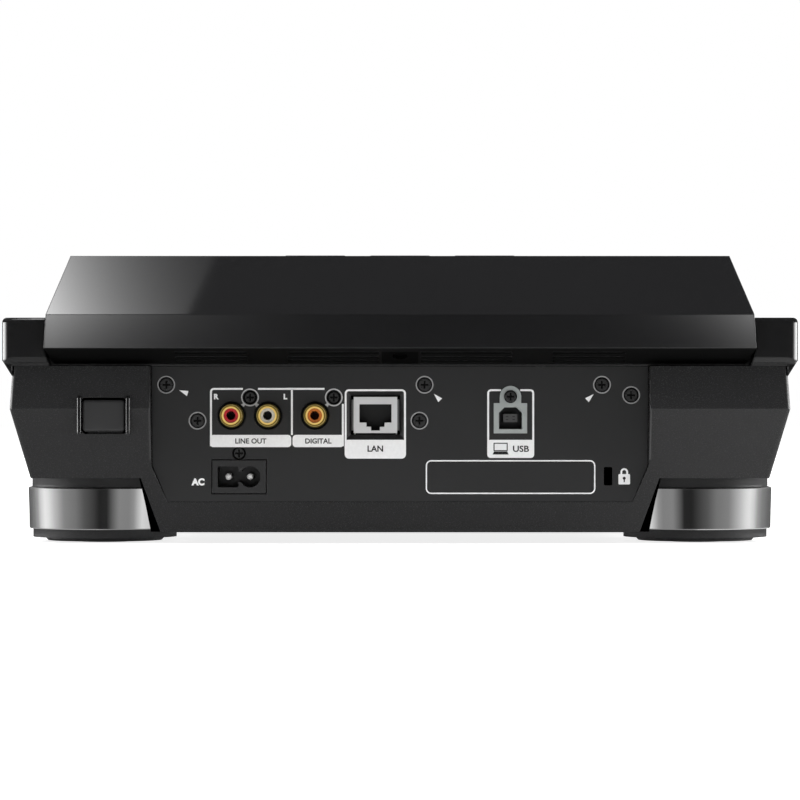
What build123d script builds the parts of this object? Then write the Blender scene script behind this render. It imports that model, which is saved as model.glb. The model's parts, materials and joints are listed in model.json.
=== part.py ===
from build123d import *
from math import cos, hypot, pi, sin
import os

# A tabletop DJ media player. Millimetres, +Z up, the table at Z = 0, +Y towards the rear panel.
# The user stands at -Y. The origin is the middle of the object's footprint.

# ---------------------------------------------------------------- overall
width = 305.6               # across the top case
depth = 382.5               # top case's front edge to the hood's rear band
wall = 2.5                  # moulded housings
gap = 0.3                   # between fixed mouldings that don't bear on each other
seat_gap = 0.1              # a plate in its rebate
run = 0.05                  # radial clearance of a shaft in its bore

# ---------------------------------------------------------------- heights above the table
keel_z = 4.5                # underside of the keel
block_z = 25.6              # underside of the corner blocks
kink_z = 52.4               # widest level of the lower case
rim_z = 68.9                # top of the lower case, where the top case sits
skirt_z = 65.1              # bottom of the top case's skirt
bumper_z = 71.0             # where the skirt's chamfer starts
deck_z = 87.4               # top face of the deck
hood_z = 111.7              # the hood's top edge

# ---------------------------------------------------------------- housing outlines
bumper_step = 4.5           # the top case's rear face, in front of the hood's band
skirt_in = 3.6              # how far the skirt's chamfer draws in
skirt_rear_z = 70.0         # the rear is cut short, without a skirt
skirt_rear_edge = 1.9
rim_in = 3.9                # lower case rim, inside the top case's outline
kink_in = 2.8               # lower case kink, inside the top case's outline
block_in = 10.0             # foot of the corner blocks, inside the top case's outline
keel_root = 103.0           # the keel's half width where it leaves the blocks
keel_half = 97.1            # the keel's half width at its underside
keel_rear_in = 17.35        # the keel's rear bottom edge, inside the top case's rear face
notch_in = 4.3              # the keel's rear corners are notched this far across at its underside
notch_deep = 7.2            # and this far forward
notch_lean_x = 7.3          # each notch leans outwards up to the blocks
notch_lean_y = 3.0          # and rearwards
keel_front_in = 15.0        # the keel's front bottom edge, inside the top case's front face
bumper_r = 4.0              # upright corners of the top case
deck_edge_r = 1.8           # the deck's rounded top edge
block_r = 2.0               # upright corners of the lower case

# ---------------------------------------------------------------- rear panel
panel_drop = 13.75          # the panel's face, inside the top case's rear face
panel_t = 2.0
panel_half = 96.2           # recess half width at the rim
panel_half_low = 95.9       # recess half width where its lower corners start
panel_half_foot = 90.0      # recess half width at its foot
panel_corner_z = 30.3
panel_foot_z = 16.4
ledge = 3.0                 # the rebate that the panel rests against
ledge_t = 2.5

# ---------------------------------------------------------------- hood
hood_front_y = 62.0         # front foot of the hood
hood_lip = 4.0              # upright front edge above the deck
hood_top_in = 23.3          # the top edge, in front of the band
band_top_z = 88.5
band_foot_z = 75.6
band_lean = 0.6
under_z = 69.8              # front end of the hood's sloping underside
under_in = 13.2             # that end, in front of the band
hood_half_top = 127.8
hood_half_band = 135.4
hood_half_foot = 136.2
hood_half_under = 133.4
face_t = 3.0                # wall of the tilted face
vent_slot = 0.9
vent_ends = ((8.0, 43.0), (58.6, 86.4))
vent_levels = (74.0, 72.3, 70.8)
vent_depth = 4.0
hood_screw_r = 2.9
hood_screw_depth = 3.0

# ---------------------------------------------------------------- feet
foot_in_x = 36.1            # a foot's centre, inside the top case's side
foot_in_rear = 49.0         # a rear foot's centre, inside the top case's rear face
foot_in_front = 50.0        # a front foot's centre, inside the top case's front face
collar_r = 28.7
ring_r = 30.2               # at the ring's top
ring_foot_r = 29.8
ring_edge = 0.4
rubber_r = 28.3
pad_r = 23.1
tip_r = 10.7
tip_h = 0.55
collar_z = 21.6             # collar bottom, ring top
ring_z = 5.3                # ring bottom, rubber top
rubber_z = 1.95             # the rubber's step
pad_edge = 0.7
ring_wall = 4.0
pocket_gap = 1.2            # round a ring, in the keel's side
foot_screw_bore = 5.0
foot_screw_deep = 3.0       # the screw head, above the pad's underside

# ---------------------------------------------------------------- rear sockets, at X and Z
rca_z = 49.8
rca_audio_x = 58.0
rca_pitch = 14.1
rca_digital_x = 32.8
rca_barrel_r = 4.15
rca_bore_r = 2.85
rca_hole_r = 1.75
rca_flange_r = 4.6
rca_window_r = 5.5          # the panel's hole round the flange
rca_flange_t = 1.0
rca_reach = 8.5             # barrel beyond the panel's face
rca_tail = 10.0             # barrel behind the panel
rca_insert_in = 1.0         # the insert's face, inside the barrel's mouth
rca_body_top = 60.2
rca_body_deep = 14.0
rca_audio_w = 27.0
rca_digital_w = 17.0
rca_digital_shift = -3.0    # the digital body reaches over to its screw
rca_screw_up = 7.0
rca_screw_aside = 7.2
link_x = 9.5
link_z = 50.0
link_w = 16.8
link_h = 14.0
link_wall = 0.6
link_deep = 17.0
link_window_w = 19.0
link_window_h = 15.1
link_bevel = 1.65
link_port_top = 4.15        # port ceiling above the shield's middle
link_steps = ((12.4, 2.95), (7.0, 4.55), (3.4, 6.0))    # stepped port: width, floor below the middle
link_port_deep = 13.0
link_spring = (0.85, 2.2, 12.0)     # the shield's side springs
link_spring_in = 0.8
usb_b_x = -42.7
usb_b_z = 48.75
usb_b_plate_w = 12.9
usb_b_plate_h = 11.7
usb_b_plate_t = 0.8
usb_b_ear_r = 4.15
usb_b_ear_up = 2.5          # the ear's screw, above the bracket plate
usb_b_port_w = 8.85
usb_b_port_h = 8.4
usb_b_chamfer = 2.1
usb_b_wall = 0.6
usb_b_deep = 15.0
usb_b_tongue_w = 5.5
usb_b_tongue_h = 3.2
usb_b_tongue_in = 1.6
inlet_x = 62.25
inlet_z = 26.1
inlet_w = 20.7
inlet_h = 12.8
inlet_gap = 0.35            # round the inlet, in the panel
inlet_deep = 20.0
inlet_lobe_r = 4.05
inlet_pitch = 8.5
inlet_neck = 4.0
inlet_corner_r = 0.8
inlet_leg_w = 10.0
inlet_cavity = 15.0
inlet_screw_up = 9.1
pin_r = 1.3
pin_in = 3.0                # pin tips, inside the inlet's mouth
pin_dome = 1.2
lock_x = -80.45
lock_z = 26.35
lock_w = 3.25
lock_h = 7.1
lock_r = 0.6
board_lap = 1.0             # sockets stand on the main board this far in front of the panel's back

# ---------------------------------------------------------------- screws
panel_screws_at = ((90.4, 61.7), (78.3, 47.8), (-9.5, 61.7), (-7.5, 47.8), (-78.1, 61.7), (-89.4, 57.7))
screw_head_r = 2.9
screw_head_h = 1.5
screw_edge = 0.6
screw_sink = 1.5            # screw heads sit in counterbores this deep
screw_shank_r = 1.45
screw_long = 8.0
small_head_r = 2.5
cross_w = 0.7
cross_l = 3.0
cross_deep = 0.8

# ---------------------------------------------------------------- power switch
power_x = 113.8
power_z = 49.75
power_w = 16.3
power_h = 12.1
power_proud = 0.6           # the cap, beyond the widest level of the case
power_travel = 2.5
power_side_gap = 0.35
power_end_gap = 0.9
power_corner_r = 1.35
power_edge = 0.7
power_deep = 7.0
power_stem_r = 2.6
power_stem_long = 12.0
guard_w = 1.7
guard_h = 15.3
guard_proud = 1.7
guard_edge = 0.8
switch_w = 14.0
switch_deep = 16.0
switch_h = 12.0
switch_gap = 1.2            # left between the pressed cap and the switch
shelf_t = 3.0

# ---------------------------------------------------------------- boards
board_t = 1.6
main_board_z = 40.6         # top face, under the sockets
main_board_x = (-62.0, 88.0)
main_board_deep = 118.0
power_board_top = 18.0
power_board_x = (30.0, 76.0)
power_board_deep = 150.0
control_board_drop = 14.0   # board's top, below the deck's underside
control_left_w = (8.0, 92.0)     # the left board's sides, in from the top case's side
control_right_w = (8.0, 40.0)    # the right board's sides, in from the top case's side
control_front = 16.0             # back from the front face
control_back = 10.0              # forward of the hood's foot
control_left_posts = ((10.8, 51.0), (54.8, 26.0), (10.8, 196.0), (72.8, 201.0))
control_right_posts = ((11.8, 41.0), (34.8, 18.0), (36.8, 183.0), (10.8, 213.0))
post_r = 3.2
board_screw_r = 2.4
board_screw_in = 6.0

# ---------------------------------------------------------------- jog wheel
jog_x = 4.0
jog_in_front = 125.0        # its centre, back from the top case's front face
jog_r = 103.0
jog_gap = 0.7
holder_wall = 2.8
holder_ring_h = 4.6
holder_floor_drop = 12.5    # floor underside, below the deck's top
holder_floor_t = 2.0
holder_flange = 2.0
holder_flange_t = 1.2
holder_boss_r = 14.0
dial_top_z = 103.2
dial_side_z = 96.8
dial_foot = 0.9             # the dial, above the deck's top
dial_wall = 3.2
dial_knee = 4.0             # thickening where the skirt meets the web
slope_in = 86.5
plate_r = 82.0
plate_gap = 0.3
plate_t = 2.6
plate_proud = 0.4
plate_travel = 0.4
web_t = 3.0
dimples = 24
dimple_r = 11.0
dimple_deep = 1.3
hub_r = 10.0
hub_long = 6.0
bearing_r = 11.0
bearing_bore = 5.0
bearing_h = 7.0
spindle_collar_r = 7.0
spindle_collar_t = 1.5
spindle_tail = 3.0          # the spindle, below its bearing
encoder_r = 76.0
encoder_t = 1.0
encoder_h = 9.0
encoder_slots = 48
encoder_slot_w = 2.0
encoder_slot_h = 4.0
sensor_w = 7.0
sensor_arm = 2.2
sensor_gap = 1.0
sensor_lap = 3.0

# ---------------------------------------------------------------- keys and knobs
key_gap = 0.35
key_flange = 1.0
key_flange_t = 1.2
key_flange_gap = 0.2
key_proud = 1.8
key_travel = 1.0
key_stem_r = 2.0
switch_body = 6.0
switch_body_h = 3.5
switch_tip_r = 1.6
switch_tip_h = 0.9
tip_gap = 0.1
round_key_r = 18.5
round_key_proud = 4.2
round_edge = 1.2
small_key_edge = 0.4
left_col = 26.3             # centre of the left column, in from the side
play_front = 29.0
cue_front = 73.0
track_front = 106.0
search_front = 123.0
rocker_key = (38.0, 9.0)
rocker_sink = 2.0           # the rocker's cap, down into its hole
rocker_drop = 5.0           # its pin, below the deck's top
rocker_barrel_w = 9.0
rocker_barrel_r = 2.0
rocker_pin_r = 1.0
rocker_stem_x = 12.0
cue_key = (15.0, 9.0)
loop_key = (19.0, 10.0)
cue_row_hood = 36.0         # rows, forward of the hood's foot
loop_row_hood = 16.0
cue_pitch = 22.0
loop_pitch = 25.0
cue_in = 15.5
loop_in_side = 18.0
right_col = 24.0            # centre of the right column, in from the side
tempo_key = (12.0, 8.0)
tempo_pitch = 17.0
tempo_hood = 104.0
sync_hood = 84.0
sync_key = (26.0, 9.0)
knob_r = 7.0
knob_h = 13.0
knob_foot = 0.6
knob_shaft_r = 3.0
knob_flutes = 18
knob_flute_r = 0.8
jog_knob_hood = 56.0
vinyl_knob_hood = 24.0
pot_w = 11.0
pot_h = 8.0

# ---------------------------------------------------------------- direction lever
lever_hood = 96.0
lever_left = 18.0
lever_slot = (5.0, 12.0)
lever_w = 4.0
lever_t = 3.0
lever_drop = 8.0            # its pin, below the deck's top
lever_barrel_r = 3.2
lever_pin_r = 1.5
lever_top = 9.0
lever_cap = (7.0, 6.0, 4.0)
ear_t = 2.0
ear_gap = 0.3

# ---------------------------------------------------------------- tempo fader
fader_front = 79.0          # middle of the fader's travel, back from the front face
fader_travel = 100.0
fader_slot_w = 1.8
fader_stem_t = 1.2
fader_stem_l = 7.0
fader_cap = (17.0, 27.0, 10.5)
fader_cap_foot = 0.4
fader_cap_groove = 1.2
fader_track_w = 12.0
fader_track_h = 9.0
fader_channel = 3.0
fader_channel_deep = 7.0
fader_end = 6.0

# ---------------------------------------------------------------- display and hood controls
glass_w = 178.0
glass_l = 88.0
glass_t = 1.6
glass_front = 5.0           # the glass's front edge, up the tilted face
lcd_w = 164.0
lcd_l = 86.0
lcd_t = 5.0
window_w = 156.0
window_l = 80.0
menu_key = (24.0, 6.5)
menu_pitch = 33.0
menu_up = 98.0              # the menu keys' row, up the tilted face
side_key = (17.0, 8.0)
side_keys_x = 109.0
back_up = 72.0
hood_board_drop = 12.0
browse_up = 28.0
browse_r = 12.5
browse_h = 11.5
browse_foot = 1.2
browse_shaft_r = 3.0
browse_shaft_long = 18.0
browse_bore = 8.5
browse_travel = 0.8
encoder_w = 13.0
encoder_body_h = 7.0
usb_a_x = -108.0
usb_a_up = 62.0
usb_a_w = 14.5
usb_a_h = 7.0
usb_a_wall = 0.6
usb_a_deep = 13.0
usb_a_tongue_w = 11.6
usb_a_tongue_t = 1.8
usb_a_flange = 1.6
usb_a_flange_t = 0.8

# ---------------------------------------------------------------- bottom
bottom_screw_x = 62.0
bottom_screw_y = (-128.0, 0.0, 128.0)
bottom_sink = 2.2
bottom_boss_r = 5.5
bottom_boss_h = 7.0

# ---------------------------------------------------------------- worked out
half = width / 2
hood_rear = depth / 2
front = -depth / 2
rear = hood_rear - bumper_step
panel_y = rear - panel_drop
panel_back = panel_y - panel_t
deck_under = deck_z - wall
hood_top_y = hood_rear - hood_top_in
under_y = hood_rear - under_in
jog_y = front + jog_in_front
foot_x = half - foot_in_x
foot_ys = (front + foot_in_front, rear - foot_in_rear)
control_board_z = deck_under - control_board_drop
face_foot_z = deck_z + hood_lip
face = Plane(
    origin=(0, hood_front_y, face_foot_z),
    x_dir=(1, 0, 0),
    z_dir=(0, face_foot_z - hood_z, hood_top_y - hood_front_y),
)


# ---------------------------------------------------------------- shapes
def disc(r, z0, z1, x=0.0, y=0.0):
    """An upright cylinder from z0 to z1."""
    return Pos(x, y, (z0 + z1) / 2) * Cylinder(r, z1 - z0)


def ring(outer, inner, z0, z1, x=0.0, y=0.0):
    """An upright tube from z0 to z1."""
    return disc(outer, z0, z1, x, y) - disc(inner, z0, z1, x, y)


def block(x0, x1, y0, y1, z0, z1):
    """A box between two corners."""
    return Pos((x0 + x1) / 2, (y0 + y1) / 2, (z0 + z1) / 2) * Box(x1 - x0, y1 - y0, z1 - z0)


def rear_disc(r, y0, y1, x, z):
    """A cylinder that points to the rear."""
    return Pos(x, (y0 + y1) / 2, z) * Rot(90, 0, 0) * Cylinder(r, y1 - y0)


def endwise(outline, y0, y1):
    """An outline drawn in (x, z), run from y0 to y1."""
    plane = Plane(origin=(0, y0, 0), x_dir=(1, 0, 0), z_dir=(0, -1, 0))
    return extrude(plane * outline, amount=y0 - y1)


def across(outline):
    """An outline drawn in (y, z), run through the whole width."""
    return extrude(Plane.YZ * outline, amount=width, both=True)


def mirrored(points):
    """A half outline in (x, z), closed by its mirror image."""
    return Polygon(*points, *[(-x, z) for x, z in reversed(points)], align=None)


def upright_edges(solid, z0, z1):
    """The corner edges whose middle lies between two levels."""
    corners = solid.edges().filter_by(lambda e: abs((e @ 1 - e @ 0).Z) > 0.8 * e.length)
    return corners.filter_by_position(Axis.Z, z0, z1)


def group(solids):
    """Separate solids that share one node."""
    return Compound(children=[s for solid in solids for s in solid.solids()])


# ---------------------------------------------------------------- lower case
def lower_form(inset):
    """The lower case's outside drawn in by inset: its end outline crossed with its side outline."""
    ends = mirrored([
        (keel_half - inset, keel_z + inset),
        (keel_root - inset, block_z + inset),
        (half - block_in - inset, block_z + inset),
        (half - kink_in - inset, kink_z),
        (half - rim_in - inset, rim_z),
    ])
    sides = Polygon(
        (front + keel_front_in + inset, keel_z + inset),
        (front + kink_in + inset, kink_z),
        (front + rim_in + inset, rim_z),
        (rear - rim_in - inset, rim_z),
        (rear - kink_in - inset, kink_z),
        (rear - keel_rear_in - inset, keel_z + inset),
        align=None,
    )
    return across(sides) & endwise(ends, front, rear)


def feet_at():
    """The four foot centres."""
    return [(side * foot_x, y) for side in (-1, 1) for y in foot_ys]


def recess_outline():
    """The rear recess in (x, z), open at the rim."""
    return mirrored([
        (panel_half_foot, panel_foot_z),
        (panel_half_low, panel_corner_z),
        (panel_half, rim_z + panel_drop),
    ])


def keel_notches():
    """Leaning cuts in the keel's rear corners, beside the rear feet."""
    y0 = rear - keel_rear_in - notch_deep
    cuts = []
    for side in (-1, 1):
        plan = Pos(side * (keel_half - notch_in), y0) * Rectangle(
            keel_half, rear, align=(Align.MIN if side > 0 else Align.MAX, Align.MIN),
        )
        up = Vector(side * notch_lean_x, notch_lean_y, block_z - keel_z)
        cuts.append(extrude(Pos(0, 0, keel_z) * plan, amount=up.length, dir=up))
    return cuts


def power_window():
    """The window in the rear corner that the power button slides in."""
    outline = RectangleRounded(power_w + 2 * power_side_gap, power_h + 2 * power_end_gap, power_corner_r)
    return endwise(Pos(power_x, power_z) * outline, rear - rim_in - 2 * wall, rear)


def guard_ridges():
    """Rounded ridges on both sides of the power button."""
    ridges = []
    for side in (-1, 1):
        x = power_x + side * (power_w / 2 + power_side_gap + guard_w / 2)
        bar = Pos(x, power_z) * SlotOverall(guard_h, guard_w, rotation=90)
        ridge = endwise(bar, rear - rim_in - wall, rear - kink_in + guard_proud)
        ridges.append(fillet(ridge.faces().sort_by(Axis.Y)[-1].edges(), guard_edge))
    return ridges


def switch_box():
    """The body of the power switch."""
    y1 = rear - kink_in - power_deep - power_travel - switch_gap
    return block(
        power_x - switch_w / 2, power_x + switch_w / 2,
        y1 - switch_deep, y1,
        power_z - switch_h / 2, power_z + switch_h / 2,
    )


def board_posts(x0, x1, y0, y1):
    """Board corners drawn in to the screw centres."""
    return [
        (x, y)
        for x in (x0 + board_screw_in, x1 - board_screw_in)
        for y in (y0 + board_screw_in, y1 - board_screw_in)
    ]


def main_board_box():
    """The main board's sides, which reach under the sockets."""
    return (*main_board_x, panel_back - board_lap - main_board_deep, panel_back - board_lap)


def power_board_box():
    """The power board's sides, which reach under the mains inlet."""
    y1 = panel_back - ledge_t - gap
    return (*power_board_x, y1 - power_board_deep, y1)


def lower_case():
    """Corner blocks and keel in one moulding, open at the top and behind the rear panel."""
    outer = lower_form(0)
    outer = fillet(upright_edges(outer, block_z, rim_z), block_r)
    pocket_r = ring_r + pocket_gap
    cavity = lower_form(wall)
    for x, y in feet_at():
        outer -= disc(pocket_r, 0, block_z, x, y)
        cavity -= disc(pocket_r + wall, 0, block_z + wall, x, y)
    for cut in keel_notches():
        outer -= cut
        cavity -= Pos(0, -wall, 0) * cut
    recess = recess_outline()
    jamb_front = panel_back - ledge_t
    jamb = endwise(offset(recess, wall), jamb_front, rear) & lower_form(0)
    case = outer - cavity + jamb
    case -= endwise(recess, panel_back, rear)
    case -= endwise(offset(recess, -ledge), jamb_front - wall, panel_back)
    for x, z in filter(is_edge_screw, panel_screws_at):
        side = 1 if x > 0 else -1
        x0, x1 = sorted((side * (abs(x) - screw_head_r), side * (panel_half_low + seat_gap)))
        case += block(x0, x1, panel_back - screw_long, panel_back, z - screw_head_r, z + screw_head_r)
        case -= rear_disc(screw_shank_r + run, panel_back - screw_long, panel_back, x, z)
    case -= power_window()
    for ridge in guard_ridges():
        case += ridge - lower_form(wall / 2)
    shelf = switch_box()
    low = shelf.bounding_box()
    case += block(low.min.X, low.max.X, low.min.Y, low.max.Y, low.min.Z - shelf_t, low.min.Z)
    web_x = (low.min.X + low.max.X) / 2
    case += block(
        web_x - shelf_t, web_x + shelf_t, low.min.Y, low.max.Y, block_z + wall / 2, low.min.Z,
    )
    floor = keel_z + wall
    for box, top in ((main_board_box(), main_board_z), (power_board_box(), power_board_top)):
        for x, y in board_posts(*box):
            case += disc(post_r, floor - wall / 2, top - board_t, x, y)
    for x, y in bottom_screw_places():
        case += disc(bottom_boss_r, floor - wall / 2, floor + bottom_boss_h, x, y)
        case -= disc(screw_head_r + gap, 0, keel_z + bottom_sink, x, y)
        case -= disc(screw_shank_r + run, 0, floor + bottom_boss_h, x, y)
    for x, y in feet_at():
        case -= disc(screw_shank_r + run, 0, block_z + wall, x, y)
    return case


def is_edge_screw(place):
    """Whether a panel screw goes into the case's edge and not into the panel's own collar."""
    return abs(place[0]) > panel_half_low - ledge - 2 * screw_head_r


def bottom_screw_places():
    """Screw centres on the keel's underside."""
    return [(side * bottom_screw_x, y) for side in (-1, 1) for y in bottom_screw_y]


def foot_collars():
    """Moulded collars under the corner blocks."""
    return group([
        ring(collar_r, screw_shank_r + run, collar_z, block_z, x, y) for x, y in feet_at()
    ])


def foot_rings():
    """Metal rings that narrow a little downwards, each hanging on its collar by an inner shoulder."""
    shoulder = collar_z - ring_wall / 2
    inner = ring_r - ring_wall
    profile = Polygon(
        (screw_shank_r + run, shoulder),
        (inner, shoulder),
        (inner, ring_z),
        (ring_foot_r - ring_edge, ring_z),
        (ring_foot_r, ring_z + ring_edge),
        (ring_r, collar_z - ring_edge),
        (ring_r - ring_edge, collar_z),
        (screw_shank_r + run, collar_z),
        align=None,
    )
    one = revolve(Plane.XZ * profile, axis=Axis.Z)
    return group([Pos(x, y) * one for x, y in feet_at()])


def foot_pads():
    """Stepped rubber feet, plugged up into the rings."""
    plug = collar_z - ring_wall / 2
    profile = Polygon(
        (foot_screw_bore, 0),
        (tip_r, 0),
        (tip_r, tip_h),
        (pad_r - pad_edge, tip_h),
        (pad_r, tip_h + pad_edge),
        (pad_r, rubber_z),
        (rubber_r, rubber_z),
        (rubber_r, ring_z),
        (ring_r - ring_wall - seat_gap, ring_z),
        (ring_r - ring_wall - seat_gap, plug),
        (screw_shank_r + run, plug),
        (screw_shank_r + run, foot_screw_deep + screw_head_h),
        (foot_screw_bore, foot_screw_deep + screw_head_h),
        align=None,
    )
    pad = revolve(Plane.XZ * profile, axis=Axis.Z)
    return group([Pos(x, y) * pad for x, y in feet_at()])


def screw(head_r, long, cross=False):
    """A pan-head screw that points down from its head's seat at the origin."""
    head = disc(head_r, 0, screw_head_h)
    head = chamfer(head.edges().group_by(Axis.Z)[-1], screw_edge)
    head += disc(screw_shank_r, -long, 0)
    if cross:
        slot = block(-cross_l / 2, cross_l / 2, -cross_w / 2, cross_w / 2,
                     screw_head_h - cross_deep, screw_head_h)
        head -= slot + Rot(0, 0, 90) * slot
    return head


def bottom_screws():
    """Screws in the keel's underside, and up through the pads into the corner blocks."""
    foot_seat = foot_screw_deep + screw_head_h
    keel_seat = keel_z + bottom_sink
    foot_screw = Pos(0, 0, foot_seat) * Rot(180, 0, 0) * screw(screw_head_r, block_z + wall - foot_seat)
    keel_screw = Pos(0, 0, keel_seat) * Rot(180, 0, 0) * screw(screw_head_r, screw_long)
    screws = [Pos(x, y) * foot_screw for x, y in feet_at()]
    return group(screws + [Pos(x, y) * keel_screw for x, y in bottom_screw_places()])


# ---------------------------------------------------------------- rear panel and its sockets
def rear_screw(head_r, x, z, seat_y):
    """A screw driven in from the rear."""
    return Pos(x, seat_y, z) * Rot(-90, 0, 0) * screw(head_r, screw_long, cross=True)


def socket_screws_at():
    """Screws of the audio and digital sockets and of the mains inlet."""
    return (
        (rca_audio_x, rca_z + rca_screw_up),
        (rca_digital_x - rca_screw_aside, rca_z + rca_screw_up),
        (inlet_x, inlet_z + inlet_screw_up),
    )


def rca_places():
    """Barrel centres across the panel."""
    return (
        rca_audio_x + rca_pitch / 2,
        rca_audio_x - rca_pitch / 2,
        rca_digital_x,
    )


def bevelled_window():
    """The network socket's window, wider at the panel's face."""
    deep = link_bevel + seat_gap
    back = Plane(origin=(link_x, panel_y - link_bevel, link_z), x_dir=(1, 0, 0), z_dir=(0, -1, 0))
    out = Plane(origin=(link_x, panel_y, link_z), x_dir=(1, 0, 0), z_dir=(0, -1, 0))
    funnel = loft([
        back * Rectangle(link_window_w, link_window_h),
        out * Rectangle(link_window_w + 2 * link_bevel, link_window_h + 2 * link_bevel),
    ])
    hole = Pos(link_x, link_z) * Rectangle(link_window_w, link_window_h)
    return funnel + endwise(hole, panel_back - deep, panel_y - link_bevel)


def rear_panel():
    """The flat plate in the rear recess, with every opening."""
    recess = recess_outline()
    plate = endwise(offset(recess, -seat_gap), panel_back, panel_y)
    plate -= block(-half, half, panel_back - wall, rear, rim_z - seat_gap, 2 * hood_z)
    for x, z in panel_screws_at:
        if not is_edge_screw((x, z)):
            plate += rear_disc(screw_head_r, panel_y - screw_long - ledge_t, panel_back, x, z)
        plate -= rear_disc(screw_head_r + gap / 2, panel_y - screw_sink, rear, x, z)
        plate -= rear_disc(screw_shank_r + run, panel_y - 2 * screw_long, panel_y, x, z)
    for x, z in socket_screws_at():
        plate -= rear_disc(small_head_r + gap / 2, panel_back - wall, rear, x, z)
    for x in rca_places():
        plate -= rear_disc(rca_window_r, panel_back - wall, rear, x, rca_z)
    plate -= bevelled_window()
    port = Pos(usb_b_x, usb_b_z) * Rectangle(
        usb_b_port_w + 2 * usb_b_wall + gap, usb_b_port_h + 2 * usb_b_wall + gap,
    )
    plate -= endwise(port, panel_back - wall, rear)
    plate -= rear_disc(screw_shank_r + run, panel_back - wall, rear, *usb_b_ear())
    inlet = Pos(inlet_x, inlet_z) * Rectangle(inlet_w + 2 * inlet_gap, inlet_h + 2 * inlet_gap)
    plate -= endwise(inlet, panel_back - wall, rear)
    lock = Pos(lock_x, lock_z) * RectangleRounded(lock_w, lock_h, lock_r)
    return plate - endwise(lock, panel_back - wall, rear)


def usb_b_ear():
    """Centre of the USB-B bracket's screwed ear."""
    return usb_b_x, usb_b_z + usb_b_plate_h / 2 + usb_b_ear_up


def rear_screws():
    """Screws that hold the rear panel and the sockets."""
    screws = [rear_screw(screw_head_r, x, z, panel_y - screw_sink) for x, z in panel_screws_at]
    screws += [rear_screw(small_head_r, x, z, panel_back) for x, z in socket_screws_at()]
    x, z = usb_b_ear()
    screws.append(rear_screw(small_head_r, x, z, panel_y + usb_b_plate_t))
    return group(screws)


def rca_bodies():
    """Insulating blocks behind the panel that carry the barrels, standing on the main board."""
    digital_x = rca_digital_x + rca_digital_shift
    blocks = []
    for middle, across_w in ((rca_audio_x, rca_audio_w), (digital_x, rca_digital_w)):
        blocks.append(block(
            middle - across_w / 2, middle + across_w / 2,
            panel_back - rca_body_deep, panel_back, main_board_z, rca_body_top,
        ))
    for x in rca_places():
        cut = rear_disc(rca_barrel_r + run, panel_back - rca_body_deep, panel_back, x, rca_z)
        seat = rear_disc(rca_flange_r + run, panel_back - rca_flange_t, panel_back, x, rca_z)
        blocks = [b - cut - seat for b in blocks]
    for x, z in socket_screws_at():
        cut = rear_disc(screw_shank_r + run, panel_back - rca_body_deep, panel_back, x, z)
        blocks = [b - cut for b in blocks]
    return group(blocks)


def rca_sleeves():
    """Plated barrels with a flange at the panel."""
    sleeves = []
    back = panel_back - rca_tail
    mouth = panel_y + rca_reach
    for x in rca_places():
        body = rear_disc(rca_barrel_r, back, mouth, x, rca_z)
        body += rear_disc(rca_flange_r, panel_back - rca_flange_t, panel_y + rca_flange_t, x, rca_z)
        sleeves.append(body - rear_disc(rca_bore_r, back, mouth, x, rca_z))
    return group(sleeves)


def rca_inserts():
    """Coloured cores with the centre contact's hole."""
    cores = []
    back = panel_back - rca_tail
    face_y = panel_y + rca_reach - rca_insert_in
    for x in rca_places():
        core = rear_disc(rca_bore_r - run, back, face_y, x, rca_z)
        cores.append(core - rear_disc(rca_hole_r, back + wall, face_y, x, rca_z))
    return group(cores)


def link_port():
    """The stepped outline of the network socket's port."""
    port = Sketch()
    for port_w, floor in link_steps:
        step = Rectangle(port_w, link_port_top + floor)
        port += Pos(link_x, link_z + (link_port_top - floor) / 2) * step
    return port


def link_jack_shield():
    """The network socket's sheet-metal shell: side springs, and solder legs to the main board."""
    y1 = panel_y - link_wall
    shell = endwise(Pos(link_x, link_z) * Rectangle(link_w, link_h), y1 - link_deep, y1)
    hollow = Pos(link_x, link_z) * Rectangle(link_w - 2 * link_wall, link_h - 2 * link_wall)
    shell -= endwise(hollow, y1 - link_deep + link_wall, y1 - link_wall)
    shell -= endwise(link_port(), y1 - 2 * link_wall, y1)
    foot = link_z - link_h / 2
    spring_w, spring_long, spring_h = link_spring
    spring_y = y1 - link_spring_in
    for side in (-1, 1):
        edge = link_x + side * link_w / 2
        shell += block(
            *sorted((edge, edge + side * spring_w)), spring_y - spring_long, spring_y,
            link_z - spring_h / 2, link_z + spring_h / 2,
        )
        shell += block(
            *sorted((edge, edge - side * link_wall)), y1 - link_deep, y1 - link_deep / 2,
            main_board_z, foot + link_wall,
        )
    return shell


def link_jack_core():
    """The network socket's moulded core, behind the shield's face."""
    slack = link_wall + run
    y1 = panel_y - link_wall - slack
    core = endwise(
        Pos(link_x, link_z) * Rectangle(link_w - 2 * slack, link_h - 2 * slack),
        panel_y - link_wall - link_deep + slack, y1,
    )
    core -= endwise(link_port(), y1 - link_port_deep, y1)
    return core


def usb_b_outline(grow):
    """The squarish port with two cut corners, drawn larger by grow."""
    w = usb_b_port_w / 2 + grow
    h = usb_b_port_h / 2 + grow
    cut = usb_b_chamfer
    return Pos(usb_b_x, usb_b_z) * Polygon(
        (-w, -h), (w, -h), (w, h - cut), (w - cut, h), (-w + cut, h), (-w, h - cut), align=None,
    )


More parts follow.
